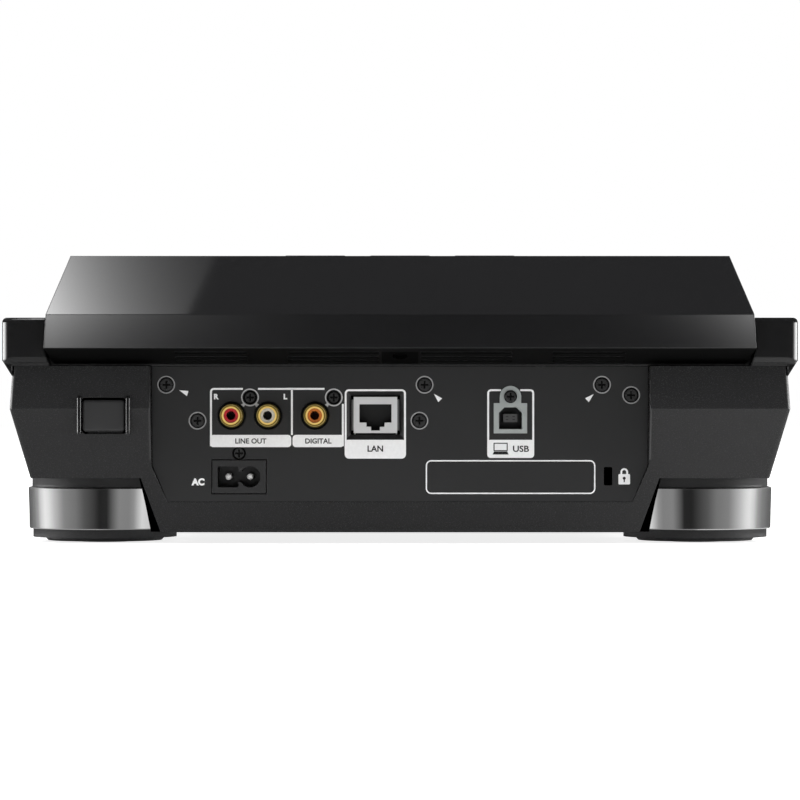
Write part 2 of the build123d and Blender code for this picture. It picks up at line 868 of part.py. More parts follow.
def usb_b_shield():
    """The USB-B shell with its bracket plate and ear on the panel's face."""
    y1 = panel_y + usb_b_plate_t
    ear_x, ear_z = usb_b_ear()
    body = endwise(Pos(usb_b_x, usb_b_z) * Rectangle(usb_b_plate_w, usb_b_plate_h), panel_y, y1)
    body += rear_disc(usb_b_ear_r, panel_y, y1, ear_x, ear_z)
    body += block(
        usb_b_x - usb_b_ear_r, usb_b_x + usb_b_ear_r, panel_y, y1, usb_b_z, ear_z,
    )
    body += endwise(usb_b_outline(usb_b_wall), y1 - usb_b_deep, y1)
    body -= endwise(usb_b_outline(0), y1 - usb_b_deep, y1)
    return body - rear_disc(screw_shank_r + run, panel_y, y1, ear_x, ear_z)


def usb_b_core():
    """The USB-B core: a back block with the contact tongue, and a leg on the main board."""
    y1 = panel_y + usb_b_plate_t
    back = y1 - usb_b_deep
    core = endwise(usb_b_outline(-run), back, back + wall)
    tongue = Pos(usb_b_x, usb_b_z + run) * Rectangle(usb_b_tongue_w, usb_b_tongue_h)
    core += endwise(tongue, back, y1 - usb_b_tongue_in)
    return core + block(
        usb_b_x - usb_b_tongue_w / 2, usb_b_x + usb_b_tongue_w / 2,
        back - wall, back, main_board_z, usb_b_z + usb_b_port_h / 2,
    )


def inlet_outline():
    """The two-lobed mains opening: one lobe square, one round, and a neck between."""
    lobe = inlet_pitch / 2
    size = 2 * inlet_lobe_r
    outline = Pos(-lobe, 0) * Circle(inlet_lobe_r)
    outline += Pos(lobe, 0) * RectangleRounded(size, size, inlet_corner_r)
    outline += Rectangle(inlet_pitch, inlet_neck)
    return Pos(inlet_x, inlet_z) * outline


def ac_inlet():
    """The mains inlet's moulding, with the screwed lug above it."""
    body = endwise(
        Pos(inlet_x, inlet_z) * Rectangle(inlet_w, inlet_h), panel_y - inlet_deep, panel_y,
    )
    lug_x, lug_z = socket_screws_at()[2]
    lug = small_head_r + 2 * gap
    body += block(
        lug_x - lug, lug_x + lug, panel_back - wall - screw_long, panel_back,
        inlet_z + inlet_h / 2 - wall, lug_z + lug,
    )
    body += block(
        inlet_x - inlet_leg_w / 2, inlet_x + inlet_leg_w / 2, panel_y - inlet_deep,
        power_board_box()[3], power_board_top, inlet_z - inlet_h / 2 + wall,
    )
    body -= endwise(inlet_outline(), panel_y - inlet_cavity, panel_y)
    body -= rear_disc(screw_shank_r + run, panel_y - inlet_deep, panel_back, lug_x, lug_z)
    for side in (-1, 1):
        x = inlet_x + side * inlet_pitch / 2
        body -= rear_disc(pin_r + run, panel_y - inlet_deep, panel_y, x, inlet_z)
    return body


def ac_inlet_pins():
    """Two round contact pins with domed tips."""
    pins = []
    for side in (-1, 1):
        x = inlet_x + side * inlet_pitch / 2
        pin = rear_disc(pin_r, panel_y - inlet_deep - wall, panel_y - pin_in, x, inlet_z)
        pins.append(fillet(pin.edges().group_by(Axis.Y)[-1], pin_dome))
    return group(pins)


# ---------------------------------------------------------------- power button
def power_button():
    """The cap in its corner window, and the stem that goes into the switch."""
    y1 = rear - kink_in + power_proud
    outline = Pos(power_x, power_z) * RectangleRounded(power_w, power_h, power_corner_r)
    cap = endwise(outline, y1 - power_deep, y1)
    cap = fillet(cap.faces().sort_by(Axis.Y)[-1].edges(), power_edge)
    stem_y = y1 - power_deep
    cap += rear_disc(power_stem_r, stem_y - power_stem_long, stem_y, power_x, power_z)
    return cap


def power_switch():
    """The switch body on its shelf, bored for the button's stem."""
    body = switch_box()
    low = body.bounding_box()
    bore_y = low.min.Y + wall
    return body - rear_disc(power_stem_r + run, bore_y, low.max.Y, power_x, power_z)


# ---------------------------------------------------------------- boards
def board(box, top):
    """A board on its posts, drilled for its screws."""
    x0, x1, y0, y1 = box
    plate = block(x0, x1, y0, y1, top - board_t, top)
    for x, y in board_posts(*box):
        plate -= disc(screw_shank_r + run, top - board_t, top, x, y)
    return plate


def circuit_boards():
    """The board that carries the signal sockets, and the mains board under the inlet."""
    return group([board(main_board_box(), main_board_z), board(power_board_box(), power_board_top)])


def board_screws():
    """Screws of both boards, seated on their top faces."""
    seats = [(x, y, main_board_z) for x, y in board_posts(*main_board_box())]
    seats += [(x, y, power_board_top) for x, y in board_posts(*power_board_box())]
    return group([Pos(*seat) * screw(board_screw_r, board_t) for seat in seats])


# ---------------------------------------------------------------- top case
def deck_outline(inset):
    """The top case in plan, drawn in by inset."""
    corner = max(bumper_r - inset, block_r / 2)
    outline = RectangleRounded(width - 2 * inset, rear - front - 2 * inset, corner)
    return Pos(0, (front + rear) / 2) * outline


def level(z):
    """A horizontal plane."""
    return Plane(origin=(0, 0, z))


def raised(outline, z0, z1):
    """A plan outline run from z0 up to z1."""
    return extrude(level(z0) * outline, amount=z1 - z0)


def hood_notch():
    """The space that the hood's rear wrap takes out of the top case."""
    return endwise(offset(hood_end_outline(skirt_z - under_z), gap), under_y - gap, hood_rear)


def deck_opening():
    """The opening in the deck under the hood."""
    return block(
        -hood_half_top + 2 * face_t, hood_half_top - 2 * face_t,
        hood_front_y + 2 * wall, panel_back - wall, deck_under - wall, deck_z,
    )


def control_posts():
    """Post centres under the deck, left and right."""
    left = [(-half + across_in, front + back) for across_in, back in control_left_posts]
    right = [(half - across_in, front + back) for across_in, back in control_right_posts]
    return left, right


def top_case():
    """Deck, bumper corners and chamfered skirt in one moulding that sits on the lower case's rim."""
    skirt = loft([level(skirt_z) * deck_outline(skirt_in), level(bumper_z) * deck_outline(0)])
    top = raised(deck_outline(0), bumper_z, deck_z)
    top = fillet(top.faces().sort_by(Axis.Z)[-1].edges(), deck_edge_r)
    case = top + skirt
    case -= raised(deck_outline(rim_in - gap), skirt_z, rim_z)
    case -= raised(deck_outline(rim_in + wall), rim_z, deck_under)
    case -= across(Polygon(
        (rear - rim_in, skirt_z),
        (rear, skirt_z),
        (rear, skirt_rear_z + skirt_rear_edge),
        (rear - skirt_rear_edge, skirt_rear_z),
        (rear - rim_in, skirt_rear_z),
        align=None,
    ))
    notch_half = hood_half_foot + gap + wall
    case += block(-notch_half, notch_half, panel_back, rear - rim_in, rim_z, deck_under)
    case -= hood_notch()
    case -= deck_opening()
    case -= disc(holder_outer() + seat_gap, deck_under - wall, deck_z, jog_x, jog_y)
    for plan, x, y in deck_keys().values():
        case -= Pos(x, y, deck_z) * key_hole(plan, wall)
    for x, y in rockers().values():
        case -= Pos(x, y, deck_z) * key_hole(SlotOverall(*rocker_key), wall)
    for x, y in knob_places():
        case -= disc(knob_shaft_r + gap, deck_under, deck_z, x, y)
    case -= raised(fader_slot(), deck_under, deck_z)
    case -= raised(Pos(*lever_place()) * Rectangle(*lever_slot), deck_under, deck_z)
    left, right = control_posts()
    for x, y in left + right:
        case += disc(post_r, control_board_z, deck_under, x, y)
    for name in pivots():
        case += pivot_ears(name)
    return case


def key_boards():
    """The boards under the left and right columns of keys and under the hood's keys."""
    left, right = control_posts()
    y0 = front + control_front
    y1 = hood_front_y - control_back
    boards = []
    for side, (outer, inner), posts in ((-1, control_left_w, left), (1, control_right_w, right)):
        x0, x1 = sorted((side * (half - outer), side * (half - inner)))
        plate = block(x0, x1, y0, y1, control_board_z - board_t, control_board_z)
        for x, y in posts:
            plate -= disc(screw_shank_r + run, control_board_z - board_t, control_board_z, x, y)
        boards.append(plate)
    return group(boards + hood_boards())


# ---------------------------------------------------------------- keys
def key(plan, panel_t, board_drop, proud=key_proud):
    """A key that slides down through a panel whose top face is at z = 0.

    A flange holds it under the panel, and a stem reaches down to its switch on the board.
    """
    seat = -panel_t - key_flange_gap
    cap = extrude(Pos(0, 0, seat) * plan, amount=proud - seat)
    edge = small_key_edge if proud == key_proud else round_edge
    cap = chamfer(cap.faces().sort_by(Axis.Z)[-1].edges(), edge)
    flange = offset(plan, key_gap + key_flange)
    cap += extrude(Pos(0, 0, seat - key_flange_t) * flange, amount=key_flange_t)
    tip = -board_drop + switch_body_h + switch_tip_h + tip_gap + key_travel
    return cap + disc(key_stem_r, tip, seat - key_flange_t)


def key_hole(plan, panel_t):
    """The hole for a key."""
    return extrude(Pos(0, 0, -panel_t) * offset(plan, key_gap), amount=panel_t)


def key_switch(board_drop):
    """A push switch on a board, below a panel whose top face is at z = 0."""
    body = Pos(0, 0, -board_drop + switch_body_h / 2) * Box(switch_body, switch_body, switch_body_h)
    top = -board_drop + switch_body_h
    return body + disc(switch_tip_r, top, top + switch_tip_h)


def square(size):
    """A key plan with small corner radii."""
    return RectangleRounded(size[0], size[1], key_flange)


def deck_keys():
    """Every key of the deck: its plan and its centre."""
    left = -half + left_col
    right = half - right_col
    cue_y = hood_front_y - cue_row_hood
    loop_y = hood_front_y - loop_row_hood
    keys = {
        "play_button": (Circle(round_key_r), left, front + play_front),
        "cue_button": (Circle(round_key_r), left, front + cue_front),
    }
    for i, letter in enumerate("abcd"):
        x = -half + cue_in + i * cue_pitch
        keys[f"hot_cue_{letter}"] = (square(cue_key), x, cue_y)
    for i, name in enumerate(("loop_in_button", "loop_out_button", "reloop_button")):
        x = -half + loop_in_side + i * loop_pitch
        keys[name] = (square(loop_key), x, loop_y)
    for side, name in ((-1, "tempo_range_button"), (1, "master_tempo_button")):
        x = right + side * tempo_pitch / 2
        keys[name] = (square(tempo_key), x, hood_front_y - tempo_hood)
    keys["sync_button"] = (square(sync_key), right, hood_front_y - sync_hood)
    return keys


def hood_keys():
    """Every key of the hood: its plan, and its centre across and up the tilted face."""
    keys = {}
    names = ("browse_key", "info_key", "menu_key")
    for i, name in enumerate(names):
        x = (i - (len(names) - 1) / 2) * menu_pitch
        keys[name] = (square(menu_key), x, menu_up)
    keys["back_key"] = (square(side_key), side_keys_x, back_up)
    return keys


def deck_key(name):
    """One key in its place on the deck."""
    plan, x, y = deck_keys()[name]
    proud = round_key_proud if name in ("play_button", "cue_button") else key_proud
    board_drop = deck_z - control_board_z
    return Pos(x, y, deck_z) * key(plan, wall, board_drop, proud)


def hood_key(name):
    """One key in its place on the tilted face."""
    plan, x, up = hood_keys()[name]
    return face.location * Pos(x, up, 0) * key(plan, face_t, hood_board_drop)


def key_switches():
    """The push switches under every key and under both ends of the rockers."""
    board_drop = deck_z - control_board_z
    places = [(x, y) for plan, x, y in deck_keys().values()]
    for x, y in rockers().values():
        places += [(x - rocker_stem_x, y), (x + rocker_stem_x, y)]
    switches = [Pos(x, y, deck_z) * key_switch(board_drop) for x, y in places]
    for plan, x, up in hood_keys().values():
        switches.append(face.location * Pos(x, up, 0) * key_switch(hood_board_drop))
    return group(switches)


# ---------------------------------------------------------------- pieces that tilt on a pin
def rockers():
    """Centres of the two rocker keys."""
    x = -half + left_col
    return {"track_rocker": (x, front + track_front), "search_rocker": (x, front + search_front)}


def pivots():
    """Every cross pin: its centre, drop below the deck, turn about Z, barrel width and the radii."""
    x, y = lever_place()
    places = {"direction_lever": (x, y, lever_drop, 0, lever_w, lever_barrel_r, lever_pin_r)}
    for name, (x, y) in rockers().items():
        places[name] = (x, y, rocker_drop, 90, rocker_barrel_w, rocker_barrel_r, rocker_pin_r)
    return places


def at_pivot(name, solid):
    """A solid drawn about a pin along X, put in its place."""
    x, y, drop, turn = pivots()[name][:4]
    return Pos(x, y, deck_z - drop) * Rot(0, 0, turn) * solid


def rod(r, reach):
    """A rod along X about the origin."""
    return Rot(0, 90, 0) * Cylinder(r, reach)


def pivot_ears(name):
    """Two ears under the deck that hold a pin."""
    drop, _, barrel_w, barrel_r, pivot_r = pivots()[name][2:]
    inner = barrel_w / 2 + ear_gap
    ears = block(-inner - ear_t, -inner, -barrel_r, barrel_r, -barrel_r, drop - wall)
    ears += block(inner, inner + ear_t, -barrel_r, barrel_r, -barrel_r, drop - wall)
    return at_pivot(name, ears - rod(pivot_r + run, 2 * (inner + ear_t)))


def pivot_pins():
    """The pins of the lever and of both rockers, each through its two ears."""
    pins = []
    for name, place in pivots().items():
        barrel_w, pivot_r = place[4], place[6]
        pins.append(at_pivot(name, rod(pivot_r, barrel_w + 2 * (ear_gap + ear_t))))
    return group(pins)


def rocker(name):
    """A long key that tilts on a pin and presses a switch with either end."""
    x, y = rockers()[name]
    cap = extrude(Pos(0, 0, -rocker_sink) * SlotOverall(*rocker_key), amount=rocker_sink + key_proud)
    cap = chamfer(cap.faces().sort_by(Axis.Z)[-1].edges(), small_key_edge)
    tip = control_board_z - deck_z + switch_body_h + switch_tip_h + tip_gap + key_travel
    for side in (-1, 1):
        cap += disc(switch_tip_r, tip, -rocker_sink, side * rocker_stem_x)
    cap += block(-rocker_barrel_r, rocker_barrel_r, -rocker_barrel_w / 2, rocker_barrel_w / 2,
                 -rocker_drop, -rocker_sink)
    body = Pos(x, y, deck_z) * cap + at_pivot(name, rod(rocker_barrel_r, rocker_barrel_w))
    return body - at_pivot(name, rod(rocker_pin_r + run, rocker_barrel_w))


def lever_place():
    """Middle of the direction lever's slot."""
    return -half + lever_left, hood_front_y - lever_hood


def direction_lever():
    """A paddle on its pin, with a cap to push."""
    top = lever_drop + lever_top
    cap_w, cap_l, cap_h = lever_cap
    body = rod(lever_barrel_r, lever_w)
    body += block(-lever_w / 2, lever_w / 2, -lever_t / 2, lever_t / 2, 0, top - cap_h)
    cap = block(-cap_w / 2, cap_w / 2, -cap_l / 2, cap_l / 2, top - cap_h, top)
    body += fillet(cap.edges().filter_by(Axis.X), cap_h / 4)
    return at_pivot("direction_lever", body - rod(lever_pin_r + run, lever_w))


# ---------------------------------------------------------------- knobs and fader
def knob_places():
    """Centres of the jog knob and of the vinyl speed knob."""
    x = half - right_col
    return (x, hood_front_y - jog_knob_hood), (x, hood_front_y - vinyl_knob_hood)


def small_knob(place):
    """A fluted knob on its shaft."""
    foot = deck_z + knob_foot
    body = disc(knob_r, foot, foot + knob_h)
    body = chamfer(body.edges().group_by(Axis.Z)[-1], knob_flute_r)
    for i in range(knob_flutes):
        angle = 2 * pi * i / knob_flutes
        x, y = knob_r * cos(angle), knob_r * sin(angle)
        body -= disc(knob_flute_r, foot, foot + knob_h, x, y)
    body += disc(knob_shaft_r, deck_under - pot_h + wall, foot)
    return Pos(*place) * body


def knob_pots():
    """The potentiometers under the knobs, bored for their shafts."""
    pots = []
    for x, y in knob_places():
        body = block(x - pot_w / 2, x + pot_w / 2, y - pot_w / 2, y + pot_w / 2,
                     deck_under - pot_h, deck_under)
        pots.append(body - disc(knob_shaft_r + run, deck_under - pot_h, deck_under, x, y))
    return group(pots)


def fader_place():
    """Middle of the tempo fader."""
    return half - right_col, front + fader_front


def fader_slot(grow=0.0):
    """The slot in the deck for the fader's stem."""
    length = fader_travel + fader_stem_l + 2 * gap
    return Pos(*fader_place()) * Rectangle(fader_slot_w + 2 * grow, length + 2 * grow)


def tempo_fader_track():
    """The fader's body under the deck, with the channel that its stem slides in."""
    length = fader_travel + fader_stem_l + 2 * fader_end
    body = raised(
        Pos(*fader_place()) * Rectangle(fader_track_w, length), deck_under - fader_track_h, deck_under,
    )
    channel = fader_slot((fader_channel - fader_slot_w) / 2)
    return body - raised(channel, deck_under - fader_channel_deep, deck_under)


def tempo_fader_knob():
    """The fader's cap with its grip groove, on a flat stem."""
    across_w, along, high = fader_cap
    foot = deck_z + fader_cap_foot
    cap = Box(across_w, along, high)
    cap = chamfer(cap.edges().filter_by(Axis.X).group_by(Axis.Z)[-1], high / 2)
    cap = chamfer(cap.faces().sort_by(Axis.Z)[-1].edges(), fader_cap_groove / 2)
    groove = Box(across_w, 2 * fader_cap_groove, fader_cap_groove)
    cap -= Pos(0, 0, (high - fader_cap_groove) / 2) * groove
    x, y = fader_place()
    stem_foot = deck_under - fader_channel_deep + fader_channel / 2
    stem = block(-fader_stem_t / 2, fader_stem_t / 2, -fader_stem_l / 2, fader_stem_l / 2, stem_foot, foot)
    return Pos(x, y, 0) * (Pos(0, 0, foot + high / 2) * cap + stem)


# ---------------------------------------------------------------- jog wheel
def holder_outer():
    """Outer radius of the jog holder's tub."""
    return jog_r + jog_gap + holder_wall


def jog_levels():
    """Heights of the dial's web, its hub's foot, the bearing's top and the bearing's foot."""
    web_top = dial_top_z + plate_proud - plate_t - plate_travel - tip_gap
    web_under = web_top - web_t
    hub_foot = web_under - hub_long
    bearing_top = hub_foot - spindle_collar_t - tip_gap
    return web_top, web_under, hub_foot, bearing_top, bearing_top - bearing_h


def jog_holder():
    """The tub in the deck: ring wall, floor, and the boss that holds the bearing."""
    floor = deck_z - holder_floor_drop
    bearing_top, bearing_foot = jog_levels()[3:]
    outer = holder_outer()
    tub = disc(outer, floor, deck_z + holder_ring_h)
    tub = chamfer(tub.edges().group_by(Axis.Z)[-1], holder_wall / 3)
    tub -= disc(jog_r + jog_gap, floor + holder_floor_t, deck_z + holder_ring_h)
    tub += ring(outer + holder_flange, outer - wall / 2, deck_z, deck_z + holder_flange_t)
    tub += disc(holder_boss_r, floor, bearing_top)
    tub -= disc(bearing_r, bearing_foot, bearing_top)
    tub -= disc(spindle_collar_r, floor, bearing_foot)
    return Pos(jog_x, jog_y) * tub


def jog_bearing():
    """The bearing pressed into the holder's boss."""
    bearing_top, bearing_foot = jog_levels()[3:]
    return ring(bearing_r, bearing_bore, bearing_foot, bearing_top, jog_x, jog_y)


def jog_dial():
    """The wheel: skirt, sloping rim with finger dimples, web and hub."""
    web_top, web_under, hub_foot = jog_levels()[:3]
    foot = deck_z + dial_foot
    rim = plate_r + plate_gap
    profile = Polygon(
        (bearing_bore, web_top),
        (bearing_bore, hub_foot),
        (hub_r, hub_foot),
        (hub_r, web_under),
        (jog_r - dial_wall - dial_knee, web_under),
        (jog_r - dial_wall, web_under - dial_knee),
        (jog_r - dial_wall, foot),
        (jog_r, foot),
        (jog_r, dial_side_z),
        (slope_in, dial_top_z),
        (rim, dial_top_z),
        (rim, web_top),
        align=None,
    )
    dial = revolve(Plane.XZ * profile, axis=Axis.Z)
    fall = dial_top_z - dial_side_z
    reach = jog_r - slope_in
    slope = hypot(fall, reach)
    middle_r = (jog_r + slope_in) / 2 + fall / slope * (dimple_r - dimple_deep)
    middle_z = (dial_top_z + dial_side_z) / 2 + reach / slope * (dimple_r - dimple_deep)
    for i in range(dimples):
        angle = 2 * pi * i / dimples
        dial -= Pos(middle_r * cos(angle), middle_r * sin(angle), middle_z) * Sphere(dimple_r)
    return Pos(jog_x, jog_y) * dial


def jog_plate():
    """The touch plate that presses down a little in the dial."""
    top = dial_top_z + plate_proud
    plate = disc(plate_r, top - plate_t, top, jog_x, jog_y)
    return chamfer(plate.edges().group_by(Axis.Z)[-1], plate_proud)


def jog_spindle():
    """The dial's shaft, with the collar that rides on the bearing."""
    web_top, web_under, hub_foot, bearing_top, bearing_foot = jog_levels()
    shaft = disc(bearing_bore - run, bearing_foot - spindle_tail, web_under)
    return Pos(jog_x, jog_y) * (shaft + disc(spindle_collar_r, hub_foot - spindle_collar_t, hub_foot))


def jog_encoder_ring():
    """The slotted ring that hangs from the dial's web."""
    web_under = jog_levels()[1]
    foot = web_under - encoder_h
    body = ring(encoder_r + encoder_t / 2, encoder_r - encoder_t / 2, foot, web_under)
    slot = Pos(encoder_r, 0, foot + encoder_slot_h / 2) * Box(2 * encoder_t, encoder_slot_w, encoder_slot_h)
    for i in range(encoder_slots):
        body -= Rot(0, 0, 360 * i / encoder_slots) * slot
    return Pos(jog_x, jog_y) * body


def jog_sensor():
    """The fork on the holder's floor that reads the encoder ring."""
    floor = deck_z - holder_floor_drop + holder_floor_t
    ring_foot = jog_levels()[1] - encoder_h
    inner = encoder_r - encoder_t / 2 - sensor_gap
    outer = encoder_r + encoder_t / 2 + sensor_gap
    body = block(inner - sensor_arm, outer + sensor_arm, -sensor_w / 2, sensor_w / 2,
                 floor, ring_foot + sensor_lap)
    body -= block(inner, outer, -sensor_w / 2, sensor_w / 2, ring_foot - sensor_gap, ring_foot + sensor_lap)
    return Pos(jog_x, jog_y) * body


# ---------------------------------------------------------------- display hood
def hood_end_outline(drop=0.0):
    """The hood seen from the rear in (x, z), its foot lowered by drop."""
    return mirrored([
        (hood_half_under, under_z + drop),
        (hood_half_foot, band_foot_z),
        (hood_half_band, band_top_z),
        (hood_half_top, hood_z),
    ])


def hood_side_outline(drop=0.0):
    """The hood seen from the side in (y, z), its front foot lowered by drop."""
    return Polygon(
        (hood_front_y, deck_z - drop),
        (hood_front_y, face_foot_z),
        (hood_top_y, hood_z),
        (hood_rear, band_top_z),
        (hood_rear - band_lean, band_foot_z),
        (under_y, under_z),
        (under_y, deck_z - drop),
        align=None,
    )


def on_face(solid, x=0.0, up=0.0):
    """A solid drawn on the tilted face, with its top at z = 0."""
    return face.location * Pos(x, up, 0) * solid


def slab(w, l, z0, z1):
    """A centred box between two depths."""
    return Pos(0, 0, (z0 + z1) / 2) * Box(w, l, z1 - z0)


def hood_vents():
    """Blind slits in the hood's sloping underside, in mirrored groups."""
    rise = (hood_rear - band_lean - under_y) / (band_foot_z - under_z)
    slits = []
    for z in vent_levels:
        y = under_y + (z - under_z) * rise
        for inner, outer in vent_ends:
            for x0, x1 in ((inner, outer), (-outer, -inner)):
                slits.append(block(x0, x1, y - vent_depth, hood_rear, z - vent_slot / 2, z + vent_slot / 2))
    return slits


def hood_screw_hole():
    """The screw recess in the middle of the underside."""
    run_y = hood_rear - band_lean - under_y
    run_z = band_foot_z - under_z
    middle = (0, under_y + run_y / 2, under_z + run_z / 2)
    plane = Plane(origin=middle, x_dir=(1, 0, 0), z_dir=(0, run_z, -run_y))
    return extrude(plane * Circle(hood_screw_r), amount=hood_screw_depth / 2, both=True)


def display_hood():
    """The hood: tilted face to the user, sloping rear face, band and underside, hollow inside."""
    hood = across(hood_side_outline()) & endwise(hood_end_outline(), front, hood_rear)
    hollow = across(offset(hood_side_outline(2 * face_t), -face_t))
    hood -= hollow & endwise(offset(hood_end_outline(), -face_t), front, hood_rear)
    glass_mid = glass_front + glass_l / 2
    hood -= on_face(slab(glass_w + 2 * seat_gap, glass_l + 2 * seat_gap, -glass_t, wall), 0, glass_mid)
    hood -= on_face(slab(window_w, window_l, -2 * face_t, 0), 0, glass_mid)
    for plan, x, up in hood_keys().values():
        hood -= on_face(key_hole(plan, face_t), x, up)
    hood -= on_face(disc(browse_shaft_r + gap, -face_t, 0), side_keys_x, browse_up)
    port = slab(usb_a_w + 2 * seat_gap, usb_a_h + 2 * seat_gap, -face_t, 0)
    hood -= on_face(port, usb_a_x, usb_a_up)
    for slit in hood_vents():
        hood -= slit
    hood -= hood_screw_hole()
    for x, up in hood_posts():
        hood += on_face(disc(screw_shank_r + wall / 2, -hood_board_drop, -face_t), x, up)
    return hood


def hood_posts():
    """Posts under the tilted face, beside its keys."""
    reach = side_key[0] / 2 - key_stem_r
    row = back_up + side_key[1] / 2 + 2 * key_flange + post_r
    return (
        (-menu_pitch / 2, menu_up),
        (menu_pitch / 2, menu_up),
        (side_keys_x - reach, row),
        (side_keys_x + reach, row),
    )


def hood_boards():
    """The boards under the hood's keys."""
    low = -hood_board_drop - board_t
    top_strip = slab(3 * menu_pitch, menu_key[1] + wall, low, -hood_board_drop)
    row = hood_posts()[-1][1]
    y0 = back_up - side_key[1] / 2
    y1 = row + post_r
    side = slab(side_key[0] + 2 * wall, y1 - y0, low, -hood_board_drop)
    return [on_face(top_strip, 0, menu_up), on_face(side, side_keys_x, (y0 + y1) / 2)]


def touch_glass():
    """The glass, flush in the tilted face."""
    glass = slab(glass_w, glass_l, -glass_t, 0)
    glass = chamfer(glass.faces().sort_by(Axis.Z)[-1].edges(), seat_gap)
    return on_face(glass, 0, glass_front + glass_l / 2)


def lcd_module():
    """The display under the window."""
    return on_face(slab(lcd_w, lcd_l, -face_t - lcd_t, -face_t), 0, glass_front + glass_l / 2)


def browse_encoder():
    """The rotary encoder's body under the tilted face."""
    body = slab(encoder_w, encoder_w, -face_t - encoder_body_h, -face_t)
    body -= disc(browse_shaft_r + run, -face_t - encoder_body_h, -face_t)
    return on_face(body, side_keys_x, browse_up)


def browse_shaft():
    """The encoder's shaft, which presses down."""
    top = browse_foot + browse_bore - tip_gap
    return on_face(disc(browse_shaft_r, top - browse_shaft_long, top), side_keys_x, browse_up)


def browse_knob():
    """The rotary selector, which turns on its shaft."""
    knob = disc(browse_r, browse_foot, browse_foot + browse_h)
    knob = chamfer(knob.edges().group_by(Axis.Z)[-1], round_edge)
    knob -= disc(browse_shaft_r + run, browse_foot, browse_foot + browse_bore)
    return on_face(knob, side_keys_x, browse_up)


def usb_a_shell():
    """The USB-A socket's shell, with a flange on the tilted face."""
    shell = slab(usb_a_w, usb_a_h, -usb_a_deep, 0)
    shell += slab(usb_a_w + 2 * usb_a_flange, usb_a_h + 2 * usb_a_flange, 0, usb_a_flange_t)
    shell -= slab(usb_a_w - 2 * usb_a_wall, usb_a_h - 2 * usb_a_wall, -usb_a_deep, usb_a_flange_t)
    return on_face(shell, usb_a_x, usb_a_up)


def usb_a_core():
    """The USB-A socket's back and contact tongue."""
    inner_w = usb_a_w - 2 * (usb_a_wall + run)
    inner_h = usb_a_h - 2 * (usb_a_wall + run)
    core = slab(inner_w, inner_h, -usb_a_deep, -usb_a_deep + usb_a_tongue_t)
    tongue = slab(usb_a_tongue_w, usb_a_tongue_t, -usb_a_deep, -usb_a_tongue_t)
    core += Pos(0, usb_a_tongue_t / 2, 0) * tongue
    return on_face(core, usb_a_x, usb_a_up)


# ---------------------------------------------------------------- the parts
def all_parts():
    """Every sub-part by its node's name."""
    parts = {
        "lower_case": lower_case(),
        "rear_panel": rear_panel(),
        "top_case": top_case(),
        "display_hood": display_hood(),
        "touch_glass": touch_glass(),
        "lcd_module": lcd_module(),
        "foot_collars": foot_collars(),
        "foot_rings": foot_rings(),
        "foot_pads": foot_pads(),
        "bottom_screws": bottom_screws(),
        "rear_screws": rear_screws(),
        "board_screws": board_screws(),
        "rca_bodies": rca_bodies(),
        "rca_sleeves": rca_sleeves(),
        "rca_inserts": rca_inserts(),
        "link_jack_shield": link_jack_shield(),
        "usb_b_shield": usb_b_shield(),
        "usb_a_shell": usb_a_shell(),
        "socket_cores": group([link_jack_core(), usb_b_core(), usb_a_core()]),
        "ac_inlet": ac_inlet(),
        "ac_inlet_pins": ac_inlet_pins(),
        "power_switch": power_switch(),
        "power_button": power_button(),
        "circuit_boards": circuit_boards(),
        "key_boards": key_boards(),
        "key_switches": key_switches(),
        "rotary_bodies": group([knob_pots(), browse_encoder()]),
        "jog_knob": small_knob(knob_places()[0]),
        "vinyl_speed_knob": small_knob(knob_places()[1]),
        "tempo_fader_track": tempo_fader_track(),
        "tempo_fader_knob": tempo_fader_knob(),
        "direction_lever": direction_lever(),
        "pivot_pins": pivot_pins(),
        "jog_holder": jog_holder(),
        "jog_bearing": jog_bearing(),
        "jog_dial": jog_dial(),
        "jog_plate": jog_plate(),
        "jog_spindle": jog_spindle(),
        "jog_encoder_ring": jog_encoder_ring(),
        "jog_sensor": jog_sensor(),
        "browse_shaft": browse_shaft(),
        "browse_knob": browse_knob(),
    }
    for name in rockers():
        parts[name] = rocker(name)
    for name in deck_keys():
        parts[name] = deck_key(name)
    for name in hood_keys():
        parts[name] = hood_key(name)
    return parts


os.makedirs("parts", exist_ok=True)
for node, shape in all_parts().items():
    export_step(shape, f"parts/{node}.step")
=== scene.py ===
import json
from math import cos, pi, radians, sin

import bmesh
import bpy
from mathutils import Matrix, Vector


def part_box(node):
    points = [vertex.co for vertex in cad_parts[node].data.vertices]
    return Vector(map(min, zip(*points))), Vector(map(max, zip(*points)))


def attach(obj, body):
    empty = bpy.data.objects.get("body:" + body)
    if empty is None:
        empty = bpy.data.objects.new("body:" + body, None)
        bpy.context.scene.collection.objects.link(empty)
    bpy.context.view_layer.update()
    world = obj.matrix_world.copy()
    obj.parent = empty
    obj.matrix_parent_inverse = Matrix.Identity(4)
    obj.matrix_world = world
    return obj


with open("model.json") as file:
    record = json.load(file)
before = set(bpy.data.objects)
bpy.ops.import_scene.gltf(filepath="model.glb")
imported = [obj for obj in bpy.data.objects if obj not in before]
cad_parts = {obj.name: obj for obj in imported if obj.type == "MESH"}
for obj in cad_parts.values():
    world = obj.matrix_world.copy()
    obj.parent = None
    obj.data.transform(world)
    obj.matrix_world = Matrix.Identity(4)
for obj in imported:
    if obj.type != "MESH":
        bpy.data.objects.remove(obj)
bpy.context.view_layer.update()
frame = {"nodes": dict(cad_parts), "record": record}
NODES = frame["nodes"]
MOUNTS = {mount["name"]: Vector(mount["pos_m"]) for mount in frame["record"]["mounts"]}

